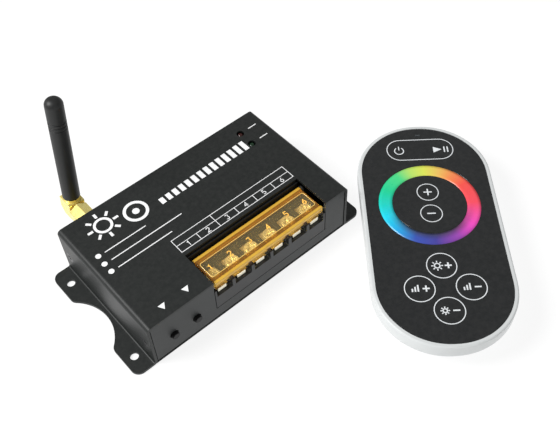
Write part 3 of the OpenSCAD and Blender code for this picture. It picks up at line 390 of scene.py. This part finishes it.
def dial_material():
    """The printed film of the touch ring, under thin dust, with a faint painted glow in its own print colours and the
    dial's painted shade.
    """
    made, tree, face = new_material("touch_ring_print")
    dial = use_group(tree, make_dial(), {
        "Centre": on_remote(RING_S, 0.0, 0.0), "Turn": -math.radians(REMOTE_TURN),
        "Inner Radius": RING_INNER * MM, "Shade Width": RING_SHADE * MM})
    film = use_group(tree, DUST, {"Colour": dial, "Amount": 0.04})
    gloss = use_group(tree, GLOSS, {"Roughness": 0.28, "Spread": 0.1})
    texture = use_group(tree, GRAIN, {"Scale": 900.0})
    # The print glows a little in its own colours: painted light
    finish_face(tree, face, film, gloss, texture, strength=0.2, depth=0.01, Emission_Strength=0.22)
    feed(tree, film, face.inputs["Emission Color"])
    return made


# ---------------------------------------------------------------- finishes of this object

TURNED = (10.0, 10.0, 1.0)
MATERIALS = {
    "case_paint": moulded("black_case_coat", (27, 30, 29), (32, 35, 34), 0.44, spread=0.08, grain=1400.0, depth=0.03,
                          mottle=0.5, dust=0.03, specular=0.36),
    "tray_paint": moulded("black_tray_coat", (38, 41, 41), (44, 47, 47), 0.5, grain=1400.0, depth=0.03, mottle=0.5,
                          dust=0.02),
    "black_screw_steel": moulded("black_oxide_steel", (26, 27, 28), (38, 38, 40), 0.35, spread=0.15, grain=2500.0,
                                 depth=0.01),
    "spacer_brass": metal("turned_brass", (206, 176, 96), (180, 150, 80), 0.28, TURNED),
    "plated_steel": metal("zinc_plate", (190, 192, 190), (164, 168, 170), 0.3),
    "insulation_film": moulded("insulation_film", (206, 200, 182), (192, 186, 168), 0.3, grain=700.0, depth=0.01),
    "board_laminate": moulded("green_board", (24, 96, 52), (18, 80, 44), 0.3, spread=0.15, grain=500.0, depth=0.03,
                              mottle=0.8),
    "block_plastic": moulded("terminal_block_nylon", (24, 26, 27), (31, 33, 34), 0.42, spread=0.12, grain=1800.0,
                             dust=0.02),
    "contact_metal": metal("tinned_contact", (226, 220, 196), (204, 198, 176), 0.3),
    "clamp_metal": metal("nickel_clamp", (255, 252, 234), (244, 238, 212), 0.3, (6.0, 1.0, 6.0), lines=900.0,
                         depth=0.02, metallic=0.5),
    "amber_plastic": clear_plastic("amber_cover_window", (242, 220, 160), (234, 210, 146), 0.03, 0.93, through=0.9),
    "button_plastic": moulded("button_plastic", (12, 12, 13), (17, 17, 18), 0.5, grain=2000.0, depth=0.01,
                              specular=0.3),
    "switch_body": metal("stamped_switch_can", (150, 152, 154), (128, 130, 132), 0.35),
    "power_lens": clear_plastic("power_light_lens", (70, 30, 26), (56, 24, 22), 0.2, 0.3),
    "signal_lens": clear_plastic("signal_light_lens", (28, 62, 38), (24, 52, 32), 0.2, 0.3),
    "gold_plate": metal("gold_plate", (255, 238, 150), (252, 222, 122), 0.27, (8.0, 1.5, 8.0), lines=700.0,
                        depth=0.012, metallic=0.6),
    "antenna_rubber": moulded("antenna_rubber", (13, 15, 15), (18, 20, 20), 0.5, spread=0.08, grain=1700.0,
                              depth=0.015, dust=0.02),
    "copper_wire": metal("copper_wire", (200, 122, 70), (176, 100, 56), 0.3, TURNED),
    "radio_board": moulded("radio_board", (30, 60, 110), (24, 50, 94), 0.3, spread=0.15, grain=500.0, depth=0.03,
                           mottle=0.8),
    "coax_jacket": moulded("coax_jacket", (110, 90, 60), (98, 78, 52), 0.4, grain=900.0, depth=0.01),
    "chip_epoxy": moulded("chip_epoxy", (30, 30, 32), (38, 38, 40), 0.55, grain=2200.0, mottle=0.5, dust=0.04),
    "capacitor_sleeve": moulded("capacitor_sleeve", (34, 42, 66), (28, 36, 58), 0.25, grain=600.0, depth=0.01),
    "white_shell": moulded("white_remote_shell", (222, 225, 225), (216, 219, 219), 0.34, spread=0.08, grain=1200.0,
                           depth=0.008, mottle=0.5, dust=0.02, specular=0.35, coat=0.08),
    "touch_glass": moulded("black_touch_panel", (28, 30, 31), (32, 34, 35), 0.14, spread=0.05, grain=300.0,
                           depth=0.004, dust=0.03),
    "status_lens": clear_plastic("status_lens", (96, 102, 104), (84, 90, 94), 0.25, 0.5),
    "cell_sleeve": moulded("battery_sleeve", (60, 110, 160), (52, 98, 146), 0.25, grain=400.0, depth=0.01),
    "contact_spring_steel": metal("spring_contact", (196, 198, 200), (170, 174, 178), 0.25),
}
WHITE_INK = moulded("white_case_print", (255, 255, 255), (246, 250, 250), 0.5, grain=2600.0, depth=0.006,
                    mottle=0.5, dust=0.06)
SILVER_INK = moulded("silver_panel_print", (244, 248, 250), (232, 237, 240), 0.35, grain=2600.0, depth=0.004,
                     mottle=0.5, dust=0.03)
# A darker brown copy of the amber is painted shade; a brighter copy with a glow is a painted highlight
AMBER_PAINTED_SHADE = clear_plastic("amber_band_painted_shade", (180, 128, 42), (162, 110, 32), 0.1, 0.6)
AMBER_PAINTED_HIGHLIGHT = clear_plastic("amber_side_painted_highlight", (230, 184, 68), (216, 166, 52), 0.14, 0.2, glow=0.06)
AMBER_SKIRT = clear_plastic("amber_clear_skirt", (206, 168, 74), (194, 154, 62), 0.02, 1.0, through=0.95,
                            bending=1.12)
# The cover's beads and numerals glow a little: a painted highlight on their moulded edges
AMBER_LINE_PAINTED_GLOW = clear_plastic("amber_moulded_line_painted_glow", (255, 220, 128), (250, 208, 104), 0.12, 0.1, glow=0.15)
# The clamps' front lips glow: a painted highlight for the light that they catch
LIP_METAL_PAINTED_GLOW = metal("clamp_lip_painted_glow", (250, 246, 226), (226, 220, 196), 0.25, (1.0, 6.0, 6.0), lines=1400.0,
                  depth=0.02, metallic=0.4, glow=0.42)
DIAL_PAINTED_SHADE_GLOW = dial_material()


# ---------------------------------------------------------------- camera and light

def place_camera():
    """The photograph's view."""
    azimuth, elevation, roll = (math.radians(a) for a in (VIEW_AZIMUTH, VIEW_ELEVATION, VIEW_ROLL))
    back = Vector((math.sin(azimuth) * math.cos(elevation),
                   -math.cos(azimuth) * math.cos(elevation), math.sin(elevation)))
    right = (-back).cross(Vector((0, 0, 1))).normalized()
    up = right.cross(-back)
    tilted_right = math.cos(roll) * right + math.sin(roll) * up
    tilted_up = -math.sin(roll) * right + math.cos(roll) * up
    place = Vector(VIEW_TARGET) * MM + back * VIEW_DISTANCE
    lens = bpy.data.cameras.new("photo_camera")
    lens.sensor_width = SENSOR_WIDTH
    lens.lens = SENSOR_WIDTH * FOCAL_PIXELS / PHOTO_WIDTH
    lens.clip_start, lens.clip_end = NEAREST, FARTHEST
    camera = bpy.data.objects.new("photo_camera", lens)
    camera.matrix_world = Matrix((
        (tilted_right.x, tilted_up.x, back.x, place.x),
        (tilted_right.y, tilted_up.y, back.y, place.y),
        (tilted_right.z, tilted_up.z, back.z, place.z),
        (0, 0, 0, 1)))
    bpy.context.collection.objects.link(camera)
    bpy.context.scene.camera = camera


def soft_light(name, place, aim, size, power):
    lamp = bpy.data.lights.new(name, "AREA")
    lamp.shape = "DISK"
    lamp.size = size
    lamp.energy = power
    light = bpy.data.objects.new(name, lamp)
    light.location = Vector(place)
    light.rotation_mode = "QUATERNION"
    light.rotation_quaternion = (Vector(aim) - Vector(place)).to_track_quat("-Z", "Y")
    bpy.context.collection.objects.link(light)


def light_studio():
    """A soft key from the left rear, a weak fill from the front, and even air that looks as white as the paper."""
    world = bpy.data.worlds.new("studio_air")
    bpy.context.scene.world = world
    world.use_nodes = True
    tree = world.node_tree
    air = tree.nodes["Background"]
    air.inputs["Color"].default_value = (1.0, 1.0, 1.0, 1)
    seen = add(tree, "ShaderNodeLightPath").outputs["Is Camera Ray"]
    strength = add(tree, "ShaderNodeMapRange", {"Value": seen, "To Min": AIR_LIGHT, "To Max": AIR_WHITE})
    feed(tree, strength.outputs["Result"], air.inputs["Strength"])
    soft_light("key_softbox", *KEY_SOFTBOX)
    soft_light("front_softbox", *FRONT_SOFTBOX)
    bpy.context.scene.view_settings.view_transform = "Standard"


# ---------------------------------------------------------------- mesh helpers

def finish_shading(mesh, angle=SMOOTH_ANGLE):
    for polygon in mesh.polygons:
        polygon.use_smooth = True
    mesh.set_sharp_from_angle(angle=math.radians(angle))


def settle(name, mesh, body, material):
    """Makes a mesh a piece that rides on its body, with its finish."""
    piece = bpy.data.objects.new(name, mesh)
    bpy.context.collection.objects.link(piece)
    mesh.materials.clear()
    mesh.materials.append(material)
    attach(piece, body)
    return piece


def soften(node, width):
    """The node's own shape with its edges broken as the real piece has them, in place of the plain solid."""
    mesh = frame["nodes"][node].data.copy()
    shape = bmesh.new()
    shape.from_mesh(mesh)
    bmesh.ops.remove_doubles(shape, verts=shape.verts, dist=WELD_BEFORE)
    bmesh.ops.dissolve_limit(shape, angle_limit=math.radians(FLAT_ANGLE), verts=shape.verts, edges=shape.edges)
    limit = math.radians(EDGE_ANGLE)
    edges = [e for e in shape.edges if len(e.link_faces) == 2 and e.calc_face_angle(0) > limit]
    bmesh.ops.bevel(shape, geom=edges, offset=width * MM, segments=EDGE_SEGMENTS, profile=EDGE_ROUND,
                    affect="EDGES", clamp_overlap=True, offset_type="OFFSET")
    bmesh.ops.remove_doubles(shape, verts=shape.verts, dist=WELD_AFTER)
    shape.to_mesh(mesh)
    shape.free()
    finish_shading(mesh)
    piece = settle(node + "_dressed", mesh, NODE_BODY[node], MATERIALS[NODE_SLOT[node]])
    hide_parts(node)
    # Broad flat faces stay flat to the light up to their broken edges
    flat_faces = piece.modifiers.new("Flat_Faces", "WEIGHTED_NORMAL")
    flat_faces.mode = "FACE_AREA"
    flat_faces.weight = 100
    flat_faces.keep_sharp = True
    return piece


def arc(cx, cy, r, start, end, steps=24):
    """Points on an arc, angles in degrees, counterclockwise when end is past start."""
    turns = [math.radians(start + (end - start) * k / steps) for k in range(steps + 1)]
    return [(cx + r * math.cos(a), cy + r * math.sin(a)) for a in turns]


def ribbon(points, width, closed=False, level=0):
    """A band of even width along a line, with mitred joints, as (points, faces, level)."""
    n = len(points)
    left, right = [], []
    for i in range(n):
        before = Vector(points[i - 1]) if closed or i else None
        after = Vector(points[(i + 1) % n]) if closed or i < n - 1 else None
        here = Vector(points[i])
        arriving = (here - before).normalized() if before is not None else (after - here).normalized()
        leaving = (after - here).normalized() if after is not None else arriving
        side = Vector((-arriving.y, arriving.x))
        mitre = side + Vector((-leaving.y, leaving.x))
        mitre = side if mitre.length < TINY else mitre.normalized()
        reach = width / 2 / max(SHARPEST_MITRE, mitre.dot(side))
        left.append(here + mitre * reach)
        right.append(here - mitre * reach)
    faces = [(i, i + n, (i + 1) % n + n, (i + 1) % n) for i in range(n if closed else n - 1)]
    return left + right, faces, level


def patch(points):
    """One flat filled outline, as (points, faces, level)."""
    return [Vector(p) for p in points], [tuple(range(len(points)))], 0


def moved(shapes, x, y, size):
    """Shapes made larger by size, with their origin put at x and y."""
    return [([Vector((x + v[0] * size, y + v[1] * size)) for v in verts], faces, level)
            for verts, faces, level in shapes]


def raised_marks(name, shapes, place, height, material, body):
    """Flat shapes as thin raised marks. place turns (x, y, z) in millimetres into metres in the frame."""
    shape = bmesh.new()
    for verts, faces, level in shapes:
        low = [shape.verts.new(place(x, y, 0.0)) for x, y in verts]
        high = [shape.verts.new(place(x, y, height + level * LAYER_STEP)) for x, y in verts]
        borders = {}
        for face in faces:
            shape.faces.new([high[i] for i in face])
            shape.faces.new([low[i] for i in reversed(face)])
            for a, b in zip(face, face[1:] + face[:1]):
                if (b, a) in borders:
                    del borders[(b, a)]
                else:
                    borders[(a, b)] = True
        for a, b in borders:
            shape.faces.new([high[b], high[a], low[a], low[b]])
    bmesh.ops.recalc_face_normals(shape, faces=shape.faces)
    mesh = bpy.data.meshes.new(name)
    shape.to_mesh(mesh)
    shape.free()
    finish_shading(mesh, PRINT_ANGLE)
    return settle(name, mesh, body, material)


# ---------------------------------------------------------------- plain marks

def digit(number, stroke):
    """A plain numeral in a box one wide and 1.6 high."""
    forms = {
        1: [[(0.22, 1.22), (0.58, 1.55), (0.58, 0.0)]],
        2: [arc(0.5, 1.12, 0.42, 165, -35, 12) + [(0.06, 0.06), (0.98, 0.06)]],
        3: [arc(0.45, 1.17, 0.37, 150, -70, 12) + arc(0.45, 0.44, 0.43, 70, -150, 12)],
        4: [[(0.74, 0.0), (0.74, 1.52), (0.04, 0.48), (1.0, 0.48)]],
        5: [[(0.9, 1.52), (0.2, 1.52), (0.13, 0.84)] + arc(0.46, 0.48, 0.44, 120, -145, 14)],
        6: [[(0.82, 1.5), (0.42, 1.14), (0.12, 0.7)] + arc(0.5, 0.48, 0.42, 160, 500, 20)],
    }
    return [ribbon(points, stroke, level=k) for k, points in enumerate(forms[number])]


def ring_mark(x, y, r, stroke):
    return ribbon(arc(x, y, r, 0, 360 - 7.5, 47), stroke, closed=True)


def disc_mark(x, y, r):
    return patch(arc(x, y, r, 0, 360 - 10, 35))


def plus_mark(x, y, reach, half):
    return patch([(x + a, y + b) for a, b in (
        (half, half), (reach, half), (reach, -half), (half, -half), (half, -reach), (-half, -reach),
        (-half, -half), (-reach, -half), (-reach, half), (-half, half), (-half, reach), (half, reach))])


def bar_mark(x, y, length, width):
    return patch([(x - length / 2, y - width / 2), (x + length / 2, y - width / 2),
                  (x + length / 2, y + width / 2), (x - length / 2, y + width / 2)])


def sun_mark(x, y, r, stroke, reach):
    """A ring with short rays, which start a third of the way out to reach."""
    shapes = [ring_mark(x, y, r, stroke)]
    inner, outer = r + reach * 0.35, r + reach
    for k in range(SUN_RAYS):
        a = 2 * math.pi * k / SUN_RAYS
        shapes.append(ribbon([(x + inner * math.cos(a), y + inner * math.sin(a)),
                              (x + outer * math.cos(a), y + outer * math.sin(a))], stroke))
    return shapes


def pill_outline(x, y, half_l, half_w):
    """Outline of a bar with round ends, long along x."""
    c = half_l - half_w
    return arc(x + c, y, half_w, -90, 90, 16) + arc(x - c, y, half_w, 90, 270, 16)


def round_outline(x0, x1, y0, y1, r):
    """Outline of a rectangle with round corners."""
    return (arc(x1 - r, y1 - r, r, 0, 90, 6) + arc(x0 + r, y1 - r, r, 90, 180, 6)
            + arc(x0 + r, y0 + r, r, 180, 270, 6) + arc(x1 - r, y0 + r, r, 270, 360, 6))


# ---------------------------------------------------------------- print on the case

def terminal_table():
    """A ruled table with one numbered field over each terminal."""
    left, right, rear, middle, front = -19.2, 37.3, -3.8, -7.3, -10.8
    half_split = -0.4
    border, line = 0.28, 0.26
    shapes = [ribbon([(left, rear), (right, rear), (right, front), (left, front)], border, closed=True)]
    shapes.append(ribbon([(left + border / 2, middle), (right - border / 2, middle)], line, level=1))
    shapes.append(ribbon([(half_split, rear - border / 2), (half_split, middle + line / 2)], line, level=1))
    field = (right - left) / TERMINALS
    stroke, size = TABLE_DIGIT
    for k in range(1, TERMINALS):
        x = left + field * k
        shapes.append(ribbon([(x, middle - line / 2), (x, front + border / 2)], line, level=2))
    for k in range(TERMINALS):
        shapes += moved(digit(k + 1, stroke), left + field * (k + 0.5) - 0.8, front + 0.6, size)
    return shapes


def level_scale():
    """Bars that grow to the right."""
    bars, first_x, step, foot, low, growth = 14, -9.6, 3.3, 13.2, 3.2, 2.2
    heights = [low + growth * k / (bars - 1) for k in range(bars)]
    return [bar_mark(first_x + step * k, foot + tall / 2, 2.1, tall) for k, tall in enumerate(heights)]


def print_case_top():
    """Plain marks in the places of the photograph's print: a table, dots with bars, arrows, a sun and a scale.
    Places and sizes are in millimetres from the case's middle."""
    thin = 0.42
    shapes = terminal_table()
    for x, y in ((-43.9, 9.1), (-44.1, 4.5), (-44.05, 0.0)):
        shapes.append(disc_mark(x, y, 1.15))
    for x0, x1, y in ((-41.0, -22.0, 9.0), (-41.0, -8.0, 4.4), (-41.0, -16.0, -0.2)):
        shapes.append(bar_mark((x0 + x1) / 2, y, x1 - x0, thin))
    for x, y in ((-38.9, -25.4), (-28.1, -25.2)):
        shapes.append(patch([(x - 1.5, y + 1.2), (x, y - 1.4), (x + 1.5, y + 1.2)]))
    for x, y in ((43.2, 22.3), (43.2, 14.7)):
        shapes.append(bar_mark(x, y, 4.2, thin))
    shapes += sun_mark(-34.2, 20.4, 3.4, 1.1, 3.6)
    shapes += [ring_mark(-20.6, 17.6, 4.6, 1.3), disc_mark(-20.6, 17.6, 1.5)]
    shapes += level_scale()
    raised_marks("case_top_print", shapes, on_top, CASE_PRINT, WHITE_INK, "controller")


# ---------------------------------------------------------------- terminals and amber cover

def give_lip_painted_glow(piece):
    """The bent lip of a wire clamp, which stands in the light in front of the cover, with a painted glow for the
    light that it catches.
    """
    piece.data.materials.append(LIP_METAL_PAINTED_GLOW)
    for polygon in piece.data.polygons:
        if polygon.center.y < LIP_FRONT * MM:
            polygon.material_index = 1


def tint_cover(piece):
    """The window and the skirt stay clear; the groove round the window gets a darker brown copy of the amber, painted
    shade, and the front ridge and the rear of the barrel a brighter copy, painted highlight with a painted glow."""
    window, band, bright, skirt = range(4)
    shape = bmesh.new()
    shape.from_mesh(piece.data)
    x0, x1 = BLOCK_X - WINDOW_HALF_L, BLOCK_X + WINDOW_HALF_L
    cuts = [((x0, 0, 0), (1, 0, 0)), ((x1, 0, 0), (1, 0, 0)), ((0, 0, COVER_Z), (0, 0, 1))]
    cuts += [((0, y, 0), (0, 1, 0)) for y in (RIDGE_REAR, WINDOW_FRONT, WINDOW_REAR, BARREL_MIDDLE)]
    for place, square in cuts:
        everything = shape.verts[:] + shape.edges[:] + shape.faces[:]
        bmesh.ops.bisect_plane(shape, geom=everything, plane_co=Vector(place) * MM, plane_no=square,
                               dist=CUT_REACH)
    for face in shape.faces:
        middle = face.calc_center_median() / MM
        if x0 < middle.x < x1 and WINDOW_FRONT < middle.y < WINDOW_REAR:
            face.material_index = window
        elif middle.y < RIDGE_REAR and middle.z < COVER_Z:
            face.material_index = skirt
        # Painted highlight on the front ridge and the rear of the barrel; painted shade on the rest of the groove
        elif middle.y < RIDGE_REAR or middle.y > BARREL_MIDDLE:
            face.material_index = bright
        else:
            face.material_index = band
    shape.to_mesh(piece.data)
    shape.free()
    for material in (AMBER_PAINTED_SHADE, AMBER_PAINTED_HIGHLIGHT, AMBER_SKIRT):
        piece.data.materials.append(material)


def cover_bead(name, points, z, closed=True):
    """A smooth bead along an outline of the amber cover, with a painted glow for the highlight on its edge."""
    line = bpy.data.curves.new(name, "CURVE")
    line.dimensions = "3D"
    line.bevel_depth = BEAD_RADIUS * MM
    line.bevel_resolution = BEAD_SEGMENTS
    line.use_fill_caps = True
    path = line.splines.new("POLY")
    path.points.add(len(points) - 1)
    for point, (x, y) in zip(path.points, points):
        point.co = (x * MM, y * MM, z * MM, 1)
    path.use_cyclic_u = closed
    rough = bpy.data.objects.new(name, line)
    bpy.context.collection.objects.link(rough)
    mesh = bpy.data.meshes.new_from_object(rough.evaluated_get(bpy.context.evaluated_depsgraph_get()))
    bpy.data.objects.remove(rough)
    mesh.name = name
    finish_shading(mesh, BEAD_ANGLE)
    settle(name, mesh, "amber_cover", AMBER_LINE_PAINTED_GLOW)


def mould_cover_details():
    """Bright moulded beads round the window and along the ridge, and plain numerals over the screws, all with a
    painted glow.
    """
    window = round_outline(BLOCK_X - WINDOW_HALF_L, BLOCK_X + WINDOW_HALF_L, WINDOW_FRONT, WINDOW_REAR, WINDOW_CORNER)
    cover_bead("cover_window_bead", window, COVER_TOP - BEAD_RADIUS)
    ridge = [(BLOCK_X + side * (COVER_HALF_L - BEAD_RADIUS), COVER_FRONT + BEAD_INSET) for side in (-1, 1)]
    cover_bead("cover_ridge_bead", ridge, COVER_Z + RIDGE_LIFT, closed=False)
    stroke, size = COVER_DIGIT
    digits = []
    for k in range(TERMINALS):
        x = BLOCK_X + (k - (TERMINALS - 1) / 2) * PITCH
        digits += moved(digit(k + 1, stroke), x - 1.0, -23.4, size)
    raised_marks("cover_numerals", digits, on_cover, COVER_PRINT, AMBER_LINE_PAINTED_GLOW, "amber_cover")


def dress_frame():
    """Every solid of the frame takes its finish; the visible ones get broken edges."""
    for name, node in frame["nodes"].items():
        for slot in node.material_slots:
            slot.material = MATERIALS[NODE_SLOT[name]]
    for node, width in EDGE_WIDTHS.items():
        piece = soften(node, width)
        if node == "terminal_cover":
            tint_cover(piece)
        elif node.startswith("clamp_plate"):
            give_lip_painted_glow(piece)


# ---------------------------------------------------------------- remote panel

def print_remote_panel():
    """Key outlines and plain signs in the places of the photograph's keys, in millimetres from the panel's middle."""
    outline, sign, ray = 0.36, 0.42, 0.46
    shapes = [ribbon(pill_outline(0.0, 40.9, 14.0, 5.7), outline, closed=True)]
    # On and off, then play and pause
    shapes.append(ribbon(arc(-8.9, 40.5, 1.9, 125, 415, 24), sign))
    shapes.append(ribbon([(-8.9, 40.9), (-8.9, 43.0)], sign, level=1))
    shapes.append(patch([(5.6, 42.2), (5.6, 39.0), (9.2, 40.6)]))
    shapes += [bar_mark(x, 40.6, 0.55, 3.1) for x in (10.3, 11.7)]
    # Two small keys inside the ring
    far_key, near_key = 17.3, 6.2
    shapes += [ring_mark(0.0, far_key, 4.3, 0.34), plus_mark(0.0, far_key, 1.7, 0.28)]
    shapes += [ring_mark(0.0, near_key, 4.3, 0.34), bar_mark(0.0, near_key, 3.4, 0.56)]
    # Four keys in a cross: light up and down, and a level up and down
    shapes += [ring_mark(x, y, 5.7, outline) for x, y in ((0.2, -19.2), (-9.5, -29.3), (9.9, -29.3), (0.2, -39.2))]
    shapes += sun_mark(-1.5, -19.2, 1.05, ray, 1.2)
    shapes += sun_mark(-1.5, -39.2, 0.8, ray, 0.95)
    for x in (-11.2, 8.2):
        shapes += [bar_mark(x + 1.1 * k, -29.5 + 0.4 * k, 0.6, 2.2 + 0.8 * k) for k in (-1, 0, 1)]
    shapes += [plus_mark(x, y, 1.35, 0.32) for x, y in ((2.7, -19.2), (-7.1, -29.3))]
    shapes += [bar_mark(x, y, 2.6, 0.6) for x, y in ((2.7, -39.2), (12.3, -29.3))]
    raised_marks("remote_key_print", shapes, on_panel, PANEL_PRINT, SILVER_INK, "remote")


def print_touch_ring():
    """The coloured ring on the floor of its shallow groove."""
    inner, outer = RING_INNER + RING_MARGIN, RING_OUTER - RING_MARGIN
    verts, faces = [], []
    for j in range(RING_ROWS + 1):
        r = inner + (outer - inner) * j / RING_ROWS
        for k in range(RING_STEPS):
            a = 2 * math.pi * k / RING_STEPS
            verts.append(on_remote(RING_S + r * math.cos(a), r * math.sin(a), RING_FLOOR + FILM))
    for j in range(RING_ROWS):
        for k in range(RING_STEPS):
            a, b = j * RING_STEPS + k, j * RING_STEPS + (k + 1) % RING_STEPS
            faces.append((a, a + RING_STEPS, b + RING_STEPS, b))
    mesh = bpy.data.meshes.new("touch_ring_print")
    mesh.from_pydata(verts, [], faces)
    finish_shading(mesh)
    ring = settle("touch_ring_print", mesh, "remote", DIAL_PAINTED_SHADE_GLOW)
    thick = ring.modifiers.new("film", "SOLIDIFY")
    thick.thickness = FILM * MM
    thick.offset = -1


# ---------------------------------------------------------------- floor

def lay_floor():
    """Pale glowing paper, with a plain unlit patch under the case so that no light comes up its seams."""
    mesh = bpy.data.meshes.new("studio_floor")
    corners = [(-1, -1), (1, -1), (1, 1), (-1, 1)]
    wide = [(FLOOR_HALF * x, FLOOR_HALF * y, 0) for x, y in corners]
    under = [(SHADE_HALF_L * MM * x, SHADE_HALF_W * MM * y, 0) for x, y in corners]
    around = [(k, (k + 1) % 4, (k + 1) % 4 + 4, k + 4) for k in range(4)]
    mesh.from_pydata(wide + under, [], around + [(4, 5, 6, 7)])
    mesh.polygons[4].material_index = 1
    floor = bpy.data.objects.new("studio_floor", mesh)
    floor.location.z = -FLOOR_DROP * MM
    bpy.context.collection.objects.link(floor)
    paper, tree, face = new_material("pale_paper")
    tint = use_group(tree, MOTTLE, {"Colour": shade((128, 128, 128)), "Second Colour": shade((125, 125, 125)),
                                    "Scale": 6.0})
    feed(tree, tint, face.inputs["Base Color"])
    face.inputs["Roughness"].default_value = 0.9
    face.inputs["Specular IOR Level"].default_value = 0.1
    light_up(face, (255, 255, 255), PAPER_GLOW)
    mesh.materials.append(paper)
    mesh.materials.append(moulded("shaded_paper", (96, 96, 96), (90, 90, 90), 0.9, specular=0.1))


place_camera()
light_studio()
dress_frame()
print_case_top()
mould_cover_details()
print_remote_panel()
print_touch_ring()
lay_floor()
